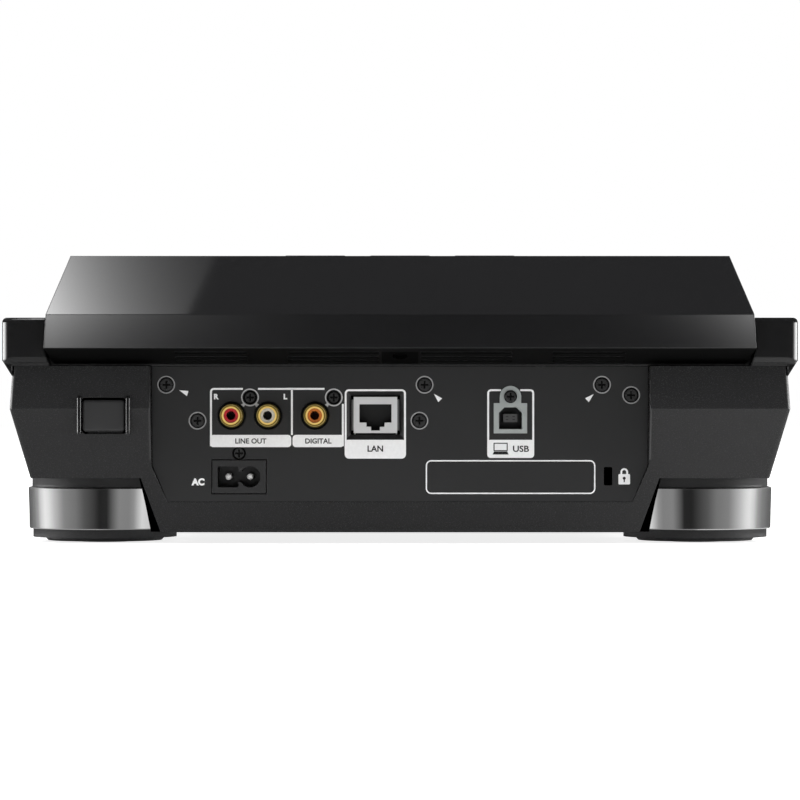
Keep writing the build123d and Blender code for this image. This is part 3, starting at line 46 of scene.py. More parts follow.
# Lengths are metres in the part's own frame, +Z up and +Y towards the rear panel. Flat marks are drawn in
# millimetres, and a middle() is in millimetres too.
MM = 0.001
INK = 0.00004               # printed marks lie this far above their surface
DECK_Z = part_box("top_case")[1].z
PANEL_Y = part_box("rear_panel")[1].y
FACE_FOOT = Vector((0.0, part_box("display_hood")[0].y, DECK_Z + 4 * MM))
FACE_TILT = 0.18945         # the hood's face, radians from level
RCA_AXES = [MOUNTS[name] for name in ("rca_right", "rca_left", "rca_digital")]
LOCK = MOUNTS["lock_slot"]
INSIDE = 0.15               # a plane across the part, farther in than all that the rear shows
FAR = 1.0                   # past every side of the part


def middle(node):
    """The middle of a CAD node's box, seen from above, in millimetres."""
    low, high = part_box(node)
    return (low.x + high.x) / 2 / MM, (low.y + high.y) / 2 / MM


def side_boxes(near, far, y, z, centre=0.0):
    """Two boxes, as (lowest corner, highest corner), at both sides of a centre."""
    spans = [sorted((centre + side * near, centre + side * far)) for side in (-1, 1)]
    return [((x0, y[0], z[0]), (x1, y[1], z[1])) for x0, x1 in spans]


def behind(y, x0=-FAR, x1=FAR, z0=0.0, z1=FAR):
    """The box behind a plane across the part."""
    return (x0, 0.0, z0), (x1, y, z1)


# NOTCHES: painted shade, near black, in the keel's notches beside the rear feet
NOTCHES = side_boxes(0.0905, 0.106, (0.14, 0.1685), (0.003, 0.0258))    # in the keel, beside the rear feet
CORNERS = side_boxes(0.0957, 0.0967, (0.178, 0.1915), (0.03, 0.0689))   # the recess's upright edges
SPRINGS = side_boxes(0.0085, 0.01, (INSIDE, 0.18), (0.04, 0.06), MOUNTS["link_port"].x)
GUARDS = ((0.1025, 0.1851, 0.0435), (0.1245, 0.19, 0.0605))             # the ridges beside the power button
# HOOD_SCREW: painted shade round the bore in the hood's underside
HOOD_SCREW = ((-0.007, INSIDE, 0.06), (0.007, 0.2, 0.0742))             # the bore in the hood's underside
# LOCK_SLOT: painted shade, near black, deep in the lock slot
LOCK_SLOT = (
    (LOCK.x - 0.00195, INSIDE, LOCK.z - 0.00395),
    (LOCK.x + 0.00195, PANEL_Y - 0.0002, LOCK.z + 0.00395),
)
# CROSSES: painted shade in the driver slots, darker than the heads round them
CROSSES = (                 # the driver slots in the rear screws' heads
    behind(0.172),
    behind(0.1726, z0=0.0595),
    behind(0.1726, z0=0.044, z1=0.0519),
    behind(0.1726, x1=-0.086, z0=0.05, z1=0.07),
    behind(0.1749, -0.048, -0.037, 0.05, 0.07),
)


# ---------------------------------------------------------------- shader nodes
def maths(tree, operation, first, second=None):
    """A math node; each value is a socket or a number."""
    node = tree.nodes.new("ShaderNodeMath")
    node.operation = operation
    for socket, value in zip(node.inputs, (first, second)):
        if isinstance(value, float):
            socket.default_value = value
        elif value is not None:
            tree.links.new(value, socket)
    return node.outputs[0]


def place(tree):
    """The place on the part."""
    return tree.nodes.new("ShaderNodeTexCoord").outputs["Object"]


def split(tree, vector):
    """A vector's X, Y and Z."""
    node = tree.nodes.new("ShaderNodeSeparateXYZ")
    tree.links.new(vector, node.inputs[0])
    return node.outputs


def mapped(tree, source, location=(0, 0, 0), scale=(1, 1, 1)):
    node = tree.nodes.new("ShaderNodeMapping")
    node.inputs["Location"].default_value = location
    node.inputs["Scale"].default_value = scale
    tree.links.new(source, node.inputs["Vector"])
    return node.outputs["Vector"]


def ranged(tree, source, start, end, low=0.0, high=1.0):
    """What runs from start to end, made to run from low to high."""
    node = tree.nodes.new("ShaderNodeMapRange")
    for name, value in (("From Min", start), ("From Max", end), ("To Min", low), ("To Max", high)):
        node.inputs[name].default_value = value
    tree.links.new(source, node.inputs["Value"])
    return node.outputs["Result"]


def noise(tree, source, scale, detail=2.0):
    """Cloudy noise, with scale cells to the metre."""
    node = tree.nodes.new("ShaderNodeTexNoise")
    node.inputs["Scale"].default_value = scale
    node.inputs["Detail"].default_value = detail
    tree.links.new(source, node.inputs["Vector"])
    return node.outputs["Fac"]


def spread(tree, source, low, high):
    """A noise's usual values, made to run from low to high."""
    return ranged(tree, source, 0.3, 0.7, low, high)


def blend_colours(tree, factor, first, second):
    """From the first colour to the second; each is a socket or a colour."""
    node = tree.nodes.new("ShaderNodeMix")
    node.data_type = "RGBA"
    tree.links.new(factor, node.inputs[0])
    for socket, colour in ((node.inputs[6], first), (node.inputs[7], second)):
        if isinstance(colour, tuple):
            socket.default_value = (*colour, 1)
        else:
            tree.links.new(colour, socket)
    return node.outputs[2]


def between(tree, factor, first, second):
    """From the first value to the second; each is a socket or a number."""
    node = tree.nodes.new("ShaderNodeMix")
    tree.links.new(factor, node.inputs[0])
    for socket, value in ((node.inputs[2], first), (node.inputs[3], second)):
        if isinstance(value, float):
            socket.default_value = value
        else:
            tree.links.new(value, socket)
    return node.outputs[0]


def mixed(tree, factor, first, second):
    """From the first shader to the second."""
    node = tree.nodes.new("ShaderNodeMixShader")
    for source, socket in zip((factor, first, second), node.inputs):
        tree.links.new(source, socket)
    return node.outputs[0]


def soft_edges(tree, radius):
    """Normals that round the edges off."""
    node = tree.nodes.new("ShaderNodeBevel")
    node.samples = 6
    node.inputs["Radius"].default_value = radius
    return node.outputs["Normal"]


def bump(tree, height, distance, strength, normal):
    node = tree.nodes.new("ShaderNodeBump")
    node.inputs["Distance"].default_value = distance
    node.inputs["Strength"].default_value = strength
    tree.links.new(height, node.inputs["Height"])
    tree.links.new(normal, node.inputs["Normal"])
    return node.outputs["Normal"]


# ---------------------------------------------------------------- camera, lamps and floor
WHITE = (1, 1, 1, 1)
CAMERA = (0.0, 1.673, 0.0558)   # where the photograph was taken from, looking along -Y
LENS = 174.56                   # millimetres, on a 36 mm sensor
WORLD_LEVEL = 0.35
FLOOR_HALF = 6.0
FLOOR_TONE = 0.8
FLOOR_GLOW = 0.82               # what the camera sees on top of the light that falls on the floor
LAMPS = (                       # name, place, target, width and height, watts
    ("left_box", (1.5, 0.5, 0.6), (0.1, 0.1, 0.05), (0.5, 1.1), 12.0),
    ("right_box", (-1.5, 0.5, 0.6), (-0.1, 0.1, 0.05), (0.5, 1.1), 17.0),
    ("top_box", (0.0, 0.3, 1.8), (0.0, 0.0, 0.1), (1.6, 1.2), 37.0),
    ("front_box", (0.0, -1.6, 1.4), (0.0, -0.1, 0.1), (1.4, 0.8), 20.0),
)


def add(obj):
    bpy.context.scene.collection.objects.link(obj)
    return obj


def make_camera():
    data = bpy.data.cameras.new("camera")
    data.sensor_width = 36.0
    data.lens = LENS
    data.clip_start = 0.05
    data.clip_end = 20.0
    camera = add(bpy.data.objects.new("camera", data))
    camera.location = CAMERA
    camera.rotation_euler = (radians(90), 0.0, radians(180))
    bpy.context.scene.camera = camera


def make_lamps():
    """Soft boxes that light the part, but don't show in its gloss."""
    for name, where, target, size, power in LAMPS:
        data = bpy.data.lights.new(name, "AREA")
        data.shape = "RECTANGLE"
        data.size, data.size_y = size
        data.energy = power
        lamp = add(bpy.data.objects.new(name, data))
        lamp.location = where
        lamp.rotation_euler = (Vector(target) - Vector(where)).to_track_quat("-Z", "Y").to_euler()
        lamp.visible_glossy = False


def backdrop(tree, level):
    node = tree.nodes.new("ShaderNodeBackground")
    node.inputs["Color"].default_value = WHITE
    node.inputs["Strength"].default_value = level
    return node.outputs[0]


def make_world():
    """White to the camera, through glass and in gloss; a plain dim level as light."""
    world = bpy.data.worlds.new("studio")
    bpy.context.scene.world = world
    world.use_nodes = True
    tree = world.node_tree
    tree.nodes.clear()
    path = tree.nodes.new("ShaderNodeLightPath").outputs
    seen = maths(tree, "MAXIMUM", path["Is Camera Ray"], path["Is Transmission Ray"])
    seen = maths(tree, "MAXIMUM", seen, path["Is Glossy Ray"])
    out = tree.nodes.new("ShaderNodeOutputWorld")
    tree.links.new(mixed(tree, seen, backdrop(tree, WORLD_LEVEL), backdrop(tree, 1.0)), out.inputs["Surface"])


def mesh_object(name, points, faces, material):
    mesh = bpy.data.meshes.new(name)
    mesh.from_pydata(points, [], faces)
    mesh.materials.append(material)
    return add(bpy.data.objects.new(name, mesh))


def flat_object(name, corners, material):
    return mesh_object(name, corners, [tuple(range(len(corners)))], material)


def level_corners(x0, x1, y0, y1, z):
    return [(x0, y0, z), (x1, y0, z), (x1, y1, z), (x0, y1, z)]


def upright_corners(x0, x1, y, z0, z1):
    return [(x0, y, z0), (x1, y, z0), (x1, y, z1), (x0, y, z1)]


def bare_material(name):
    """A material with an output node alone."""
    material = bpy.data.materials.new(name)
    material.use_nodes = True
    tree = material.node_tree
    tree.nodes.clear()
    return material, tree, tree.nodes.new("ShaderNodeOutputMaterial").inputs["Surface"]


def make_floor():
    """White to the camera apart from the part's shadow; plain grey to all other light."""
    material, tree, surface = bare_material("floor")
    plain = tree.nodes.new("ShaderNodeBsdfDiffuse")
    plain.inputs["Color"].default_value = (FLOOR_TONE, FLOOR_TONE, FLOOR_TONE, 1)
    glow = tree.nodes.new("ShaderNodeEmission")
    glow.inputs["Color"].default_value = WHITE
    glow.inputs["Strength"].default_value = FLOOR_GLOW
    lit = tree.nodes.new("ShaderNodeAddShader")
    tree.links.new(plain.outputs[0], lit.inputs[0])
    tree.links.new(glow.outputs[0], lit.inputs[1])
    camera_ray = tree.nodes.new("ShaderNodeLightPath").outputs["Is Camera Ray"]
    tree.links.new(mixed(tree, camera_ray, plain.outputs[0], lit.outputs[0]), surface)
    floor = flat_object("floor", level_corners(-FLOOR_HALF, FLOOR_HALF, -FLOOR_HALF, FLOOR_HALF, 0), material)
    floor.visible_glossy = False


# ---------------------------------------------------------------- cards that only reflections see
DRUM_R = 1.1
DRUM_SPAN = (-0.3, 0.62)
DRUM_LEVEL = 0.055
STRIP_SPAN = (-0.12, 0.16)  # low, so that the glossy deck doesn't mirror the strips to a view from the side
ARC_STEP = 3                # degrees
SIDE_STRIPS = (             # from and to, in degrees from the camera's side, and level
    (52, 60, 0.5), (60, 64, 1.2), (64, 70, 3.8), (70, 76, 7.1), (76, 82, 10.4),
    (82, 112, 12.0), (112, 116, 6.0),
)
CARD_Y = 1.05               # the upright cards, between the part and the camera
CARD_HALF = 1.2             # half the lower cards' width and depth
CARD_LOW = -0.29            # the lower cards lie under the floor, which doesn't show in gloss
CEILING = 0.6
BRIGHTEST = 8.0             # no glow goes over this level
FOOT_X = 0.1167             # the feet's axes
FOOT_ROWS = (-0.14125, 0.13775)
# Painted reflections: levels round a foot that its ring and collar mirror, by degrees from the camera's side,
# with the part's outer side positive.
RING_REFLECTION_LEVELS = (
    (-180, 0.15), (-125, 0.5), (-60, 0.5), (-34, 0.9), (-27, 0.38), (-23, 0.29), (-15, 0.3), (-6, 0.025),
    (0, 0.02), (12, 0.12), (19, 0.23), (29, 0.29), (37, 0.54), (45, 0.86), (49, 0.93), (54, 0.72), (59, 0.33),
    (66, 0.18), (80, 0.12), (100, 0.12), (130, 0.5), (180, 0.15),
)
COLLAR_REFLECTION_LEVELS = (
    (-180, 0.1), (-60, 0.4), (-20, 0.25), (5, 0.05), (30, 0.3), (50, 0.7), (75, 0.3), (110, 0.1), (180, 0.1),
)
RING_CARD = (0.0308, 0.0034, 0.0219)        # radius, lower and upper edge
COLLAR_CARD = (0.0312, 0.0221, 0.0255)
LOWER_CARDS = (             # x from, x to, level
    (0.125, CARD_HALF, 0.45), (-0.125, 0.125, 0.3), (-CARD_HALF, -0.125, 0.8),
)
GLOWS = (                   # name, side, where the glow starts, how fast it grows, level
    ("left_glow", 1, 0.145, 29.0, 0.265),
    ("right_glow", -1, 0.189, 45.0, 0.2),
)


def reflected_only(obj):
    """A studio card that only reflections see."""
    obj.visible_camera = False
    obj.visible_diffuse = False
    obj.visible_shadow = False


def card_material(name):
    material, tree, surface = bare_material(name)
    glow = tree.nodes.new("ShaderNodeEmission")
    tree.links.new(glow.outputs[0], surface)
    return material, tree, glow


def even_material(name, level):
    material, _, glow = card_material(name)
    glow.inputs["Strength"].default_value = level
    return material


def even_card(name, corners, level):
    reflected_only(flat_object(name, corners, even_material(name, level)))


def fading_card(name, corners, along, start, rate, level):
    """A card whose glow grows exponentially from start along a direction."""
    material, tree, glow = card_material(name)
    dot = tree.nodes.new("ShaderNodeVectorMath")
    dot.operation = "DOT_PRODUCT"
    dot.inputs[1].default_value = along
    tree.links.new(place(tree), dot.inputs[0])
    grown = maths(tree, "SUBTRACT", dot.outputs["Value"], start)
    grown = maths(tree, "EXPONENT", maths(tree, "MULTIPLY", grown, rate))
    grown = maths(tree, "MINIMUM", maths(tree, "MULTIPLY", grown, level), BRIGHTEST)
    tree.links.new(grown, glow.inputs["Strength"])
    reflected_only(flat_object(name, corners, material))


def wall(name, line, low, high, material, closed=False):
    """An upright card over a line of (x, y) points."""
    n = len(line)
    points = [(x, y, z) for z in (low, high) for x, y in line]
    faces = [(i, (i + 1) % n, n + (i + 1) % n, n + i) for i in range(n if closed else n - 1)]
    reflected_only(mesh_object(name, points, faces, material))


def arc_card(name, side, r, start, end, low, high, level):
    """A curved card round the part, between two angles from the camera's side."""
    steps = max(1, round((end - start) / ARC_STEP))
    angles = [radians(start + (end - start) * i / steps) for i in range(steps + 1)]
    wall(name, [(side * r * sin(a), r * cos(a)) for a in angles], low, high, even_material(name, level))


def turn_from(tree, centre, side):
    """Radians from the camera's side round a vertical axis, with the part's outer side positive."""
    where = split(tree, mapped(tree, place(tree), (-centre[0], -centre[1], 0.0)))
    return maths(tree, "ARCTAN2", maths(tree, "MULTIPLY", where["X"], float(side)), where["Y"])


def round_card(name, centre, side, r, low, high, stops):
    """A ring of card round a vertical axis; its glow follows the angle from the camera's side."""
    material, tree, glow = card_material(name)
    ramp = tree.nodes.new("ShaderNodeValToRGB")
    elements = ramp.color_ramp.elements
    peak = max(level for _, level in stops)
    glow.inputs["Strength"].default_value = peak
    while len(elements) < len(stops):
        elements.new(0.5)
    for element, (degrees_off, level) in zip(elements, stops):
        element.position = 0.5 + degrees_off / 360
        element.color = (level / peak, level / peak, level / peak, 1)
    tree.links.new(ranged(tree, turn_from(tree, centre, side), -pi, pi), ramp.inputs[0])
    tree.links.new(ramp.outputs["Color"], glow.inputs["Color"])
    angles = [radians(turn) for turn in range(0, 360, 5)]
    wall(name, [(centre[0] + r * cos(a), centre[1] + r * sin(a)) for a in angles], low, high, material, True)


def make_drum():
    """A dark drum all round, with bright boxes at both sides, about as tall as the part."""
    arc_card("drum", 1, DRUM_R, -180, 180, *DRUM_SPAN, DRUM_LEVEL)
    for side in (-1, 1):
        for start, end, level in SIDE_STRIPS:
            arc_card(f"side_{side + 1}_{start}", side, DRUM_R - 0.01, start, end, *STRIP_SPAN, level)


def make_lower_cards():
    """The bright table, as faces that lean down mirror it."""
    for i, (x0, x1, level) in enumerate(LOWER_CARDS):
        even_card(f"table_{i}", level_corners(x0, x1, -CARD_HALF, CARD_HALF, CARD_LOW), level)


def make_foot_cards():
    """Painted reflections for the feet's rings and collars, from cards close round each foot."""
    for side, shift in ((1, 0), (-1, -6.5)):
        ring_reflections = [(max(-180, min(180, turn + shift)), level) for turn, level in RING_REFLECTION_LEVELS]
        for y in FOOT_ROWS:
            foot = (side * FOOT_X, y)
            row = int(y > 0)
            round_card(f"ring_card_{side + 1}_{row}", foot, side, *RING_CARD, ring_reflections)
            round_card(f"collar_card_{side + 1}_{row}", foot, side, *COLLAR_CARD, COLLAR_REFLECTION_LEVELS)


def make_ceiling():
    """Cards over the hood's sloping rear: dark, a glow towards the photograph's left, and an even side."""
    inner = [(-0.45, -1.0, CEILING), (0.096, 0.15, CEILING)]
    tip = [(0.2045, 0.378, CEILING)]
    back = [(0.25, 1.1, CEILING)]
    outer = [(0.192, 0.18, CEILING), (0.192, -1.0, CEILING)]
    even_card("ceiling", inner + tip + back + [(-1.3, 1.1, CEILING), (-1.3, -1.0, CEILING)], 0.04)
    fading_card("ceiling_glow", inner + tip + outer, (1.0, 0.36, 0.0), 0.167, 35.0, 0.54)
    even_card("ceiling_side", back + tip + outer + [(1.3, -1.0, CEILING), (1.3, 1.1, CEILING)], 0.2)


def make_studio():
    """All the cards: also a low one for the feet's pads, and two glows for the hood's band and the panel."""
    make_drum()
    make_lower_cards()
    make_foot_cards()
    even_card("front_low", upright_corners(-0.5, 0.5, CARD_Y, -0.28, -0.012), 1.3)
    make_ceiling()
    for name, side, start, rate, level in GLOWS:
        corners = upright_corners(0.0, side * 0.221, CARD_Y, -0.002, 0.038)
        fading_card(name, corners, (side * 1.0, 0.0, 1.2), start, rate, level)


# ---------------------------------------------------------------- materials
GRAIN = 1400.0              # cells to the metre in a moulding's texture
SMOOTH_GRAIN = 2600.0       # the case's and the rear panel's


def grey(level, blue=0.0):
    """A grey, with its blue a little above or below."""
    return level, level, level + blue


def new_material(name):
    material = bpy.data.materials.new(name)
    material.use_nodes = True
    tree = material.node_tree
    return material, tree, tree.nodes["Principled BSDF"]


def wire(tree, shader, colour, rough, normal=None):
    """Links a colour, a roughness and, where there is one, a normal to a shader."""
    tree.links.new(colour, shader.inputs["Base Color"])
    tree.links.new(rough, shader.inputs["Roughness"])
    if normal is not None:
        tree.links.new(normal, shader.inputs["Normal"])


def moulded(name, dark, light, rough, grain=GRAIN, depth=0.00002, edge=0.0004, vary=0.055):
    """Injection-moulded plastic: a fine spark-eroded grain, faint mottling and softened edges."""
    material, tree, shader = new_material(name)
    where = place(tree)
    fine = noise(tree, where, grain)
    colour = blend_colours(tree, noise(tree, where, 28.0, 3.0), dark, light)
    normal = bump(tree, fine, depth, 0.5, soft_edges(tree, edge))
    wire(tree, shader, colour, spread(tree, fine, rough - vary, rough + vary), normal)
    return material


def polished(name, dark, light, rough, edge):
    """Glossy black plastic, moulded in a polished tool, with a dull underside in near-black painted shade."""
    material, tree, shader = new_material(name)
    film = noise(tree, place(tree), 12.0)
    upright = split(tree, tree.nodes.new("ShaderNodeTexCoord").outputs["Normal"])["Z"]
    under = maths(tree, "LESS_THAN", upright, -0.5)
    # painted shade: faces that look down get a near-black colour
    colour = blend_colours(tree, under, blend_colours(tree, film, dark, light), grey(0.003))
    rough = between(tree, under, spread(tree, film, rough, rough + 0.02), 0.7)
    wire(tree, shader, colour, rough, soft_edges(tree, edge))
    tree.links.new(between(tree, under, 0.8, 0.15), shader.inputs["Specular IOR Level"])
    return material


def metal(name, colour, dull, rough, stretch=(1, 1, 1), depth=0.000006, scale=900.0, metallic=1.0):
    """Machined or drawn metal: fine lines along one direction over a varied tone."""
    material, tree, shader = new_material(name)
    shader.inputs["Metallic"].default_value = metallic
    where = place(tree)
    lines = noise(tree, mapped(tree, where, scale=stretch), scale)
    tone = blend_colours(tree, noise(tree, where, 60.0), colour, dull)
    normal = bump(tree, lines, depth, 0.35, soft_edges(tree, 0.00025))
    wire(tree, shader, tone, spread(tree, lines, rough - 0.05, rough + 0.07), normal)
    return material


def rubber(name):
    """Soft black rubber, a little dusty."""
    material, tree, shader = new_material(name)
    where = place(tree)
    fine = noise(tree, where, 1600.0, 3.0)
    dust = blend_colours(tree, noise(tree, where, 45.0, 4.0), grey(0.022, 0.001), grey(0.04, 0.001))
    normal = bump(tree, fine, 0.00004, 0.5, soft_edges(tree, 0.0004))
    wire(tree, shader, dust, spread(tree, fine, 0.62, 0.8), normal)
    return material


def printed(name, colour):
    """Screen-printed ink with a slightly uneven film."""
    material, tree, shader = new_material(name)
    film = noise(tree, place(tree), 900.0, 3.0)
    worn = tuple(c * 0.86 for c in colour)
    wire(tree, shader, blend_colours(tree, film, worn, colour), spread(tree, film, 0.45, 0.6))
    return material


def inside_box(tree, low, high):
    """1 inside a box of the part, else 0."""
    where = split(tree, place(tree))
    sides = []
    for axis, start, end in zip("XYZ", low, high):
        sides.append(maths(tree, "GREATER_THAN", where[axis], start))
        sides.append(maths(tree, "LESS_THAN", where[axis], end))
    inside = sides[0]
    for side in sides[1:]:
        inside = maths(tree, "MULTIPLY", inside, side)
    return inside


def dimmed(material, boxes, shade=0.0, gloss=0.0):
    """The same material in a darker shade inside boxes, mostly painted shade for the depth of a slot, a notch
    or a bore.
    """
    tree = material.node_tree
    shader = tree.nodes["Principled BSDF"]
    for low, high in boxes:
        inside = inside_box(tree, low, high)
        colour = shader.inputs["Base Color"].links[0].from_socket
        tree.links.new(blend_colours(tree, inside, colour, grey(shade)), shader.inputs["Base Color"])
        level = shader.inputs["Specular IOR Level"]
        before = level.links[0].from_socket if level.links else 0.5
        tree.links.new(between(tree, inside, before, gloss), level)
    return material


def glossed(material, boxes):
    """The same material, polished inside boxes."""
    tree = material.node_tree
    shader = tree.nodes["Principled BSDF"]
    for low, high in boxes:
        inside = inside_box(tree, low, high)
        for name, value in (("Roughness", 0.07), ("Specular IOR Level", 1.0)):
            socket = shader.inputs[name]
            tree.links.new(between(tree, inside, socket.links[0].from_socket, value), socket)
    return material


def case_plastic(name):
    """The lower case: near-black painted shade in the notches beside the feet, polished on the guards and the
    recess's edges.
    """
    dark, light = grey(0.0165, 0.0005), grey(0.0195, 0.0005)
    material = moulded(name, dark, light, 0.27, SMOOTH_GRAIN, 0.0000005, 0.0003, 0.008)
    return glossed(dimmed(dimmed(material, NOTCHES), (GUARDS,), 0.003), (GUARDS, *CORNERS))


def panel_plastic(name):
    """The rear panel, with painted shade, near black, inside the lock slot."""
    dark, light = grey(0.0155, 0.0005), grey(0.0185, 0.0005)
    return dimmed(moulded(name, dark, light, 0.4, SMOOTH_GRAIN, 0.000002, 0.0002, 0.03), (LOCK_SLOT,))


def hood_plastic(name):
    """The display hood, with painted shade round the screw's bore."""
    dark, light = grey(0.0092, 0.0005), grey(0.0115, 0.0005)
    return dimmed(polished(name, dark, light, 0.05, 0.0004), (HOOD_SCREW,), 0.002, 0.05)


def slotted(name):
    """Blackened steel screws, with painted shade in their driver slots."""
    return dimmed(metal(name, grey(0.075), grey(0.05), 0.3, scale=1500.0, metallic=0.8), CROSSES, 0.012)


def tinned(name):
    """Tinned sheet, darker on the network socket's springs."""
    return dimmed(metal(name, grey(0.74), grey(0.68), 0.42, (12, 1, 1), metallic=0.3), SPRINGS, 0.14, 0.5)


def rca_cores(name):
    """Core plastics told apart by their place across the panel: orange, white and red."""
    material, tree, shader = new_material(name)
    where = place(tree)
    across = split(tree, where)["X"]
    film = noise(tree, where, 700.0)
    red, white, orange = [
        blend_colours(tree, film, tuple(c * 0.85 for c in shade), shade)
        for shade in ((0.5, 0.004, 0.014), (0.56, 0.55, 0.5), (0.55, 0.15, 0.004))
    ]
    right, left, digital = [axis.x for axis in RCA_AXES]
    colour = blend_colours(tree, maths(tree, "GREATER_THAN", across, (left + digital) / 2), orange, white)
    colour = blend_colours(tree, maths(tree, "GREATER_THAN", across, (left + right) / 2), colour, red)
    wire(tree, shader, colour, spread(tree, film, 0.3, 0.42))
    return material


def gilt(name):
    """Gold-plated sleeves, with painted rings about each socket's axis: a bright mouth, a groove and an outer
    edge in painted shade, and a bright rim between.
    """
    material, tree, shader = new_material(name)
    shader.inputs["Metallic"].default_value = 0.45
    where = place(tree)
    nearest = None
    for axis in RCA_AXES:
        length = tree.nodes.new("ShaderNodeVectorMath")
        length.operation = "LENGTH"
        tree.links.new(mapped(tree, where, (-axis.x, 0, -axis.z), (1, 0, 1)), length.inputs[0])
        r = length.outputs["Value"]
        nearest = r if nearest is None else maths(tree, "MINIMUM", nearest, r)
    colour = (0.95, 0.68, 0.22)
    # rings by radius: painted shade in the groove and past the rim
    for r, shade in ((0.0034, (0.7, 0.45, 0.06)), (0.0036, (0.09, 0.06, 0.004)), (0.004, (0.6, 0.45, 0.15)),
                     (0.00422, (0.1, 0.075, 0.01))):
        colour = blend_colours(tree, ranged(tree, nearest, r - 0.00012, r + 0.00012), colour, shade)
    wire(tree, shader, colour, spread(tree, noise(tree, where, 500.0), 0.38, 0.42))
    return material


def turned(name, colour, dull, rough, centre):
    """A disc turned on a lathe: fine rings about its axis."""
    material, tree, shader = new_material(name)
    shader.inputs["Metallic"].default_value = 1.0
    where = mapped(tree, place(tree), (-centre[0] * MM, -centre[1] * MM, 0))
    rings = tree.nodes.new("ShaderNodeTexWave")
    rings.wave_type = "RINGS"
    rings.rings_direction = "Z"
    rings.inputs["Scale"].default_value = 320.0
    rings.inputs["Distortion"].default_value = 0.4
    tree.links.new(where, rings.inputs["Vector"])
    lines = rings.outputs["Fac"]
    tone = blend_colours(tree, noise(tree, where, 40.0), colour, dull)
    normal = bump(tree, lines, 0.000008, 0.3, soft_edges(tree, 0.0004))
    wire(tree, shader, tone, spread(tree, lines, rough - 0.04, rough + 0.05), normal)
    return material


def glass(name):
    """Black touch glass: smooth, with a faint wipe pattern in its gloss."""
    material, tree, shader = new_material(name)
    shader.inputs["Base Color"].default_value = (*grey(0.004, 0.001), 1)
    wipe = noise(tree, mapped(tree, place(tree), scale=(3.0, 14.0, 3.0)), 6.0, 4.0)
    tree.links.new(spread(tree, wipe, 0.04, 0.11), shader.inputs["Roughness"])
    return material


INKS = {
    "white_ink": grey(0.95), "pale_ink": grey(0.5), "grey_ink": grey(0.3), "black_ink": grey(0.012),
    "contact": grey(0.075), "orange_ink": (0.75, 0.25, 0.02), "green_ink": (0.05, 0.5, 0.12),
}


def make_materials():
    """Every material, by its name."""
    made = {name: printed(name, colour) for name, colour in INKS.items()}
    for make, name, *values in (
        (case_plastic, "case"),
        (panel_plastic, "panel"),
        (hood_plastic, "hood"),
        (moulded, "bumper", grey(0.0075, 0.0002), grey(0.0095, 0.0002), 0.1, GRAIN, 0.000002, 0.0009),
        (moulded, "collar", grey(0.03, 0.0005), grey(0.034, 0.0005), 0.4),
        (moulded, "inlet", grey(0.0175, 0.0005), grey(0.02, 0.0005), 0.36, GRAIN, 0.000004, 0.0003),
        (moulded, "socket", grey(0.012), grey(0.016), 0.36, GRAIN, 0.000004, 0.0002),
        # near black, darker than the other plastics: painted shade for the gaps round the RCA sleeves, on the
        # sockets' bodies
        (moulded, "hollow_shade", grey(0.002), grey(0.003), 0.6),
        (moulded, "button", grey(0.018, 0.0005), grey(0.021, 0.0005), 0.2, GRAIN, 0.000004, 0.0009),
        (moulded, "key", grey(0.05, 0.002), grey(0.06, 0.002), 0.45, GRAIN, 0.00002, 0.0003),
        (moulded, "round_key", grey(0.08, 0.002), grey(0.1, 0.002), 0.22, GRAIN, 0.00002, 0.0005),
        (moulded, "knob", grey(0.022), grey(0.03), 0.5),
        (moulded, "dial", grey(0.02, 0.001), grey(0.027, 0.001), 0.36, GRAIN, 0.00002, 0.0006),
        (moulded, "display", grey(0.01, 0.005), grey(0.015, 0.005), 0.2),
        (moulded, "board", (0.01, 0.08, 0.03), (0.015, 0.11, 0.045), 0.35, 500.0),
        (metal, "ring", grey(0.74), grey(0.7), 0.17, (1, 1, 30), 0.000001),
        (metal, "black_screw", grey(0.12), grey(0.08), 0.3, (1, 1, 1), 0.000006, 1500.0, 0.8),
        (slotted, "slotted_screw"),
        (metal, "steel", grey(0.62, -0.02), grey(0.5, -0.01), 0.32, (1, 1, 8)),
        (tinned, "tin"),
        (metal, "bracket", (0.5, 0.53, 0.52), (0.32, 0.35, 0.34), 0.42, (12, 1, 1), 0.000006, 900.0, 0.3),
        (metal, "bronze", (0.5, 0.33, 0.15), (0.4, 0.25, 0.12), 0.45),
        (metal, "nickel", grey(0.9, -0.02), grey(0.85, -0.02), 0.25, (1, 1, 1), 0.000001, 900.0, 0.15),
        (gilt, "gold"),
        (rca_cores, "rca_cores"),
        (turned, "plate", grey(0.2, 0.01), grey(0.16, 0.01), 0.3, middle("jog_dial")),
        (rubber, "rubber"),
        (glass, "glass"),
    ):
        made[name] = make(name, *values)
    return made


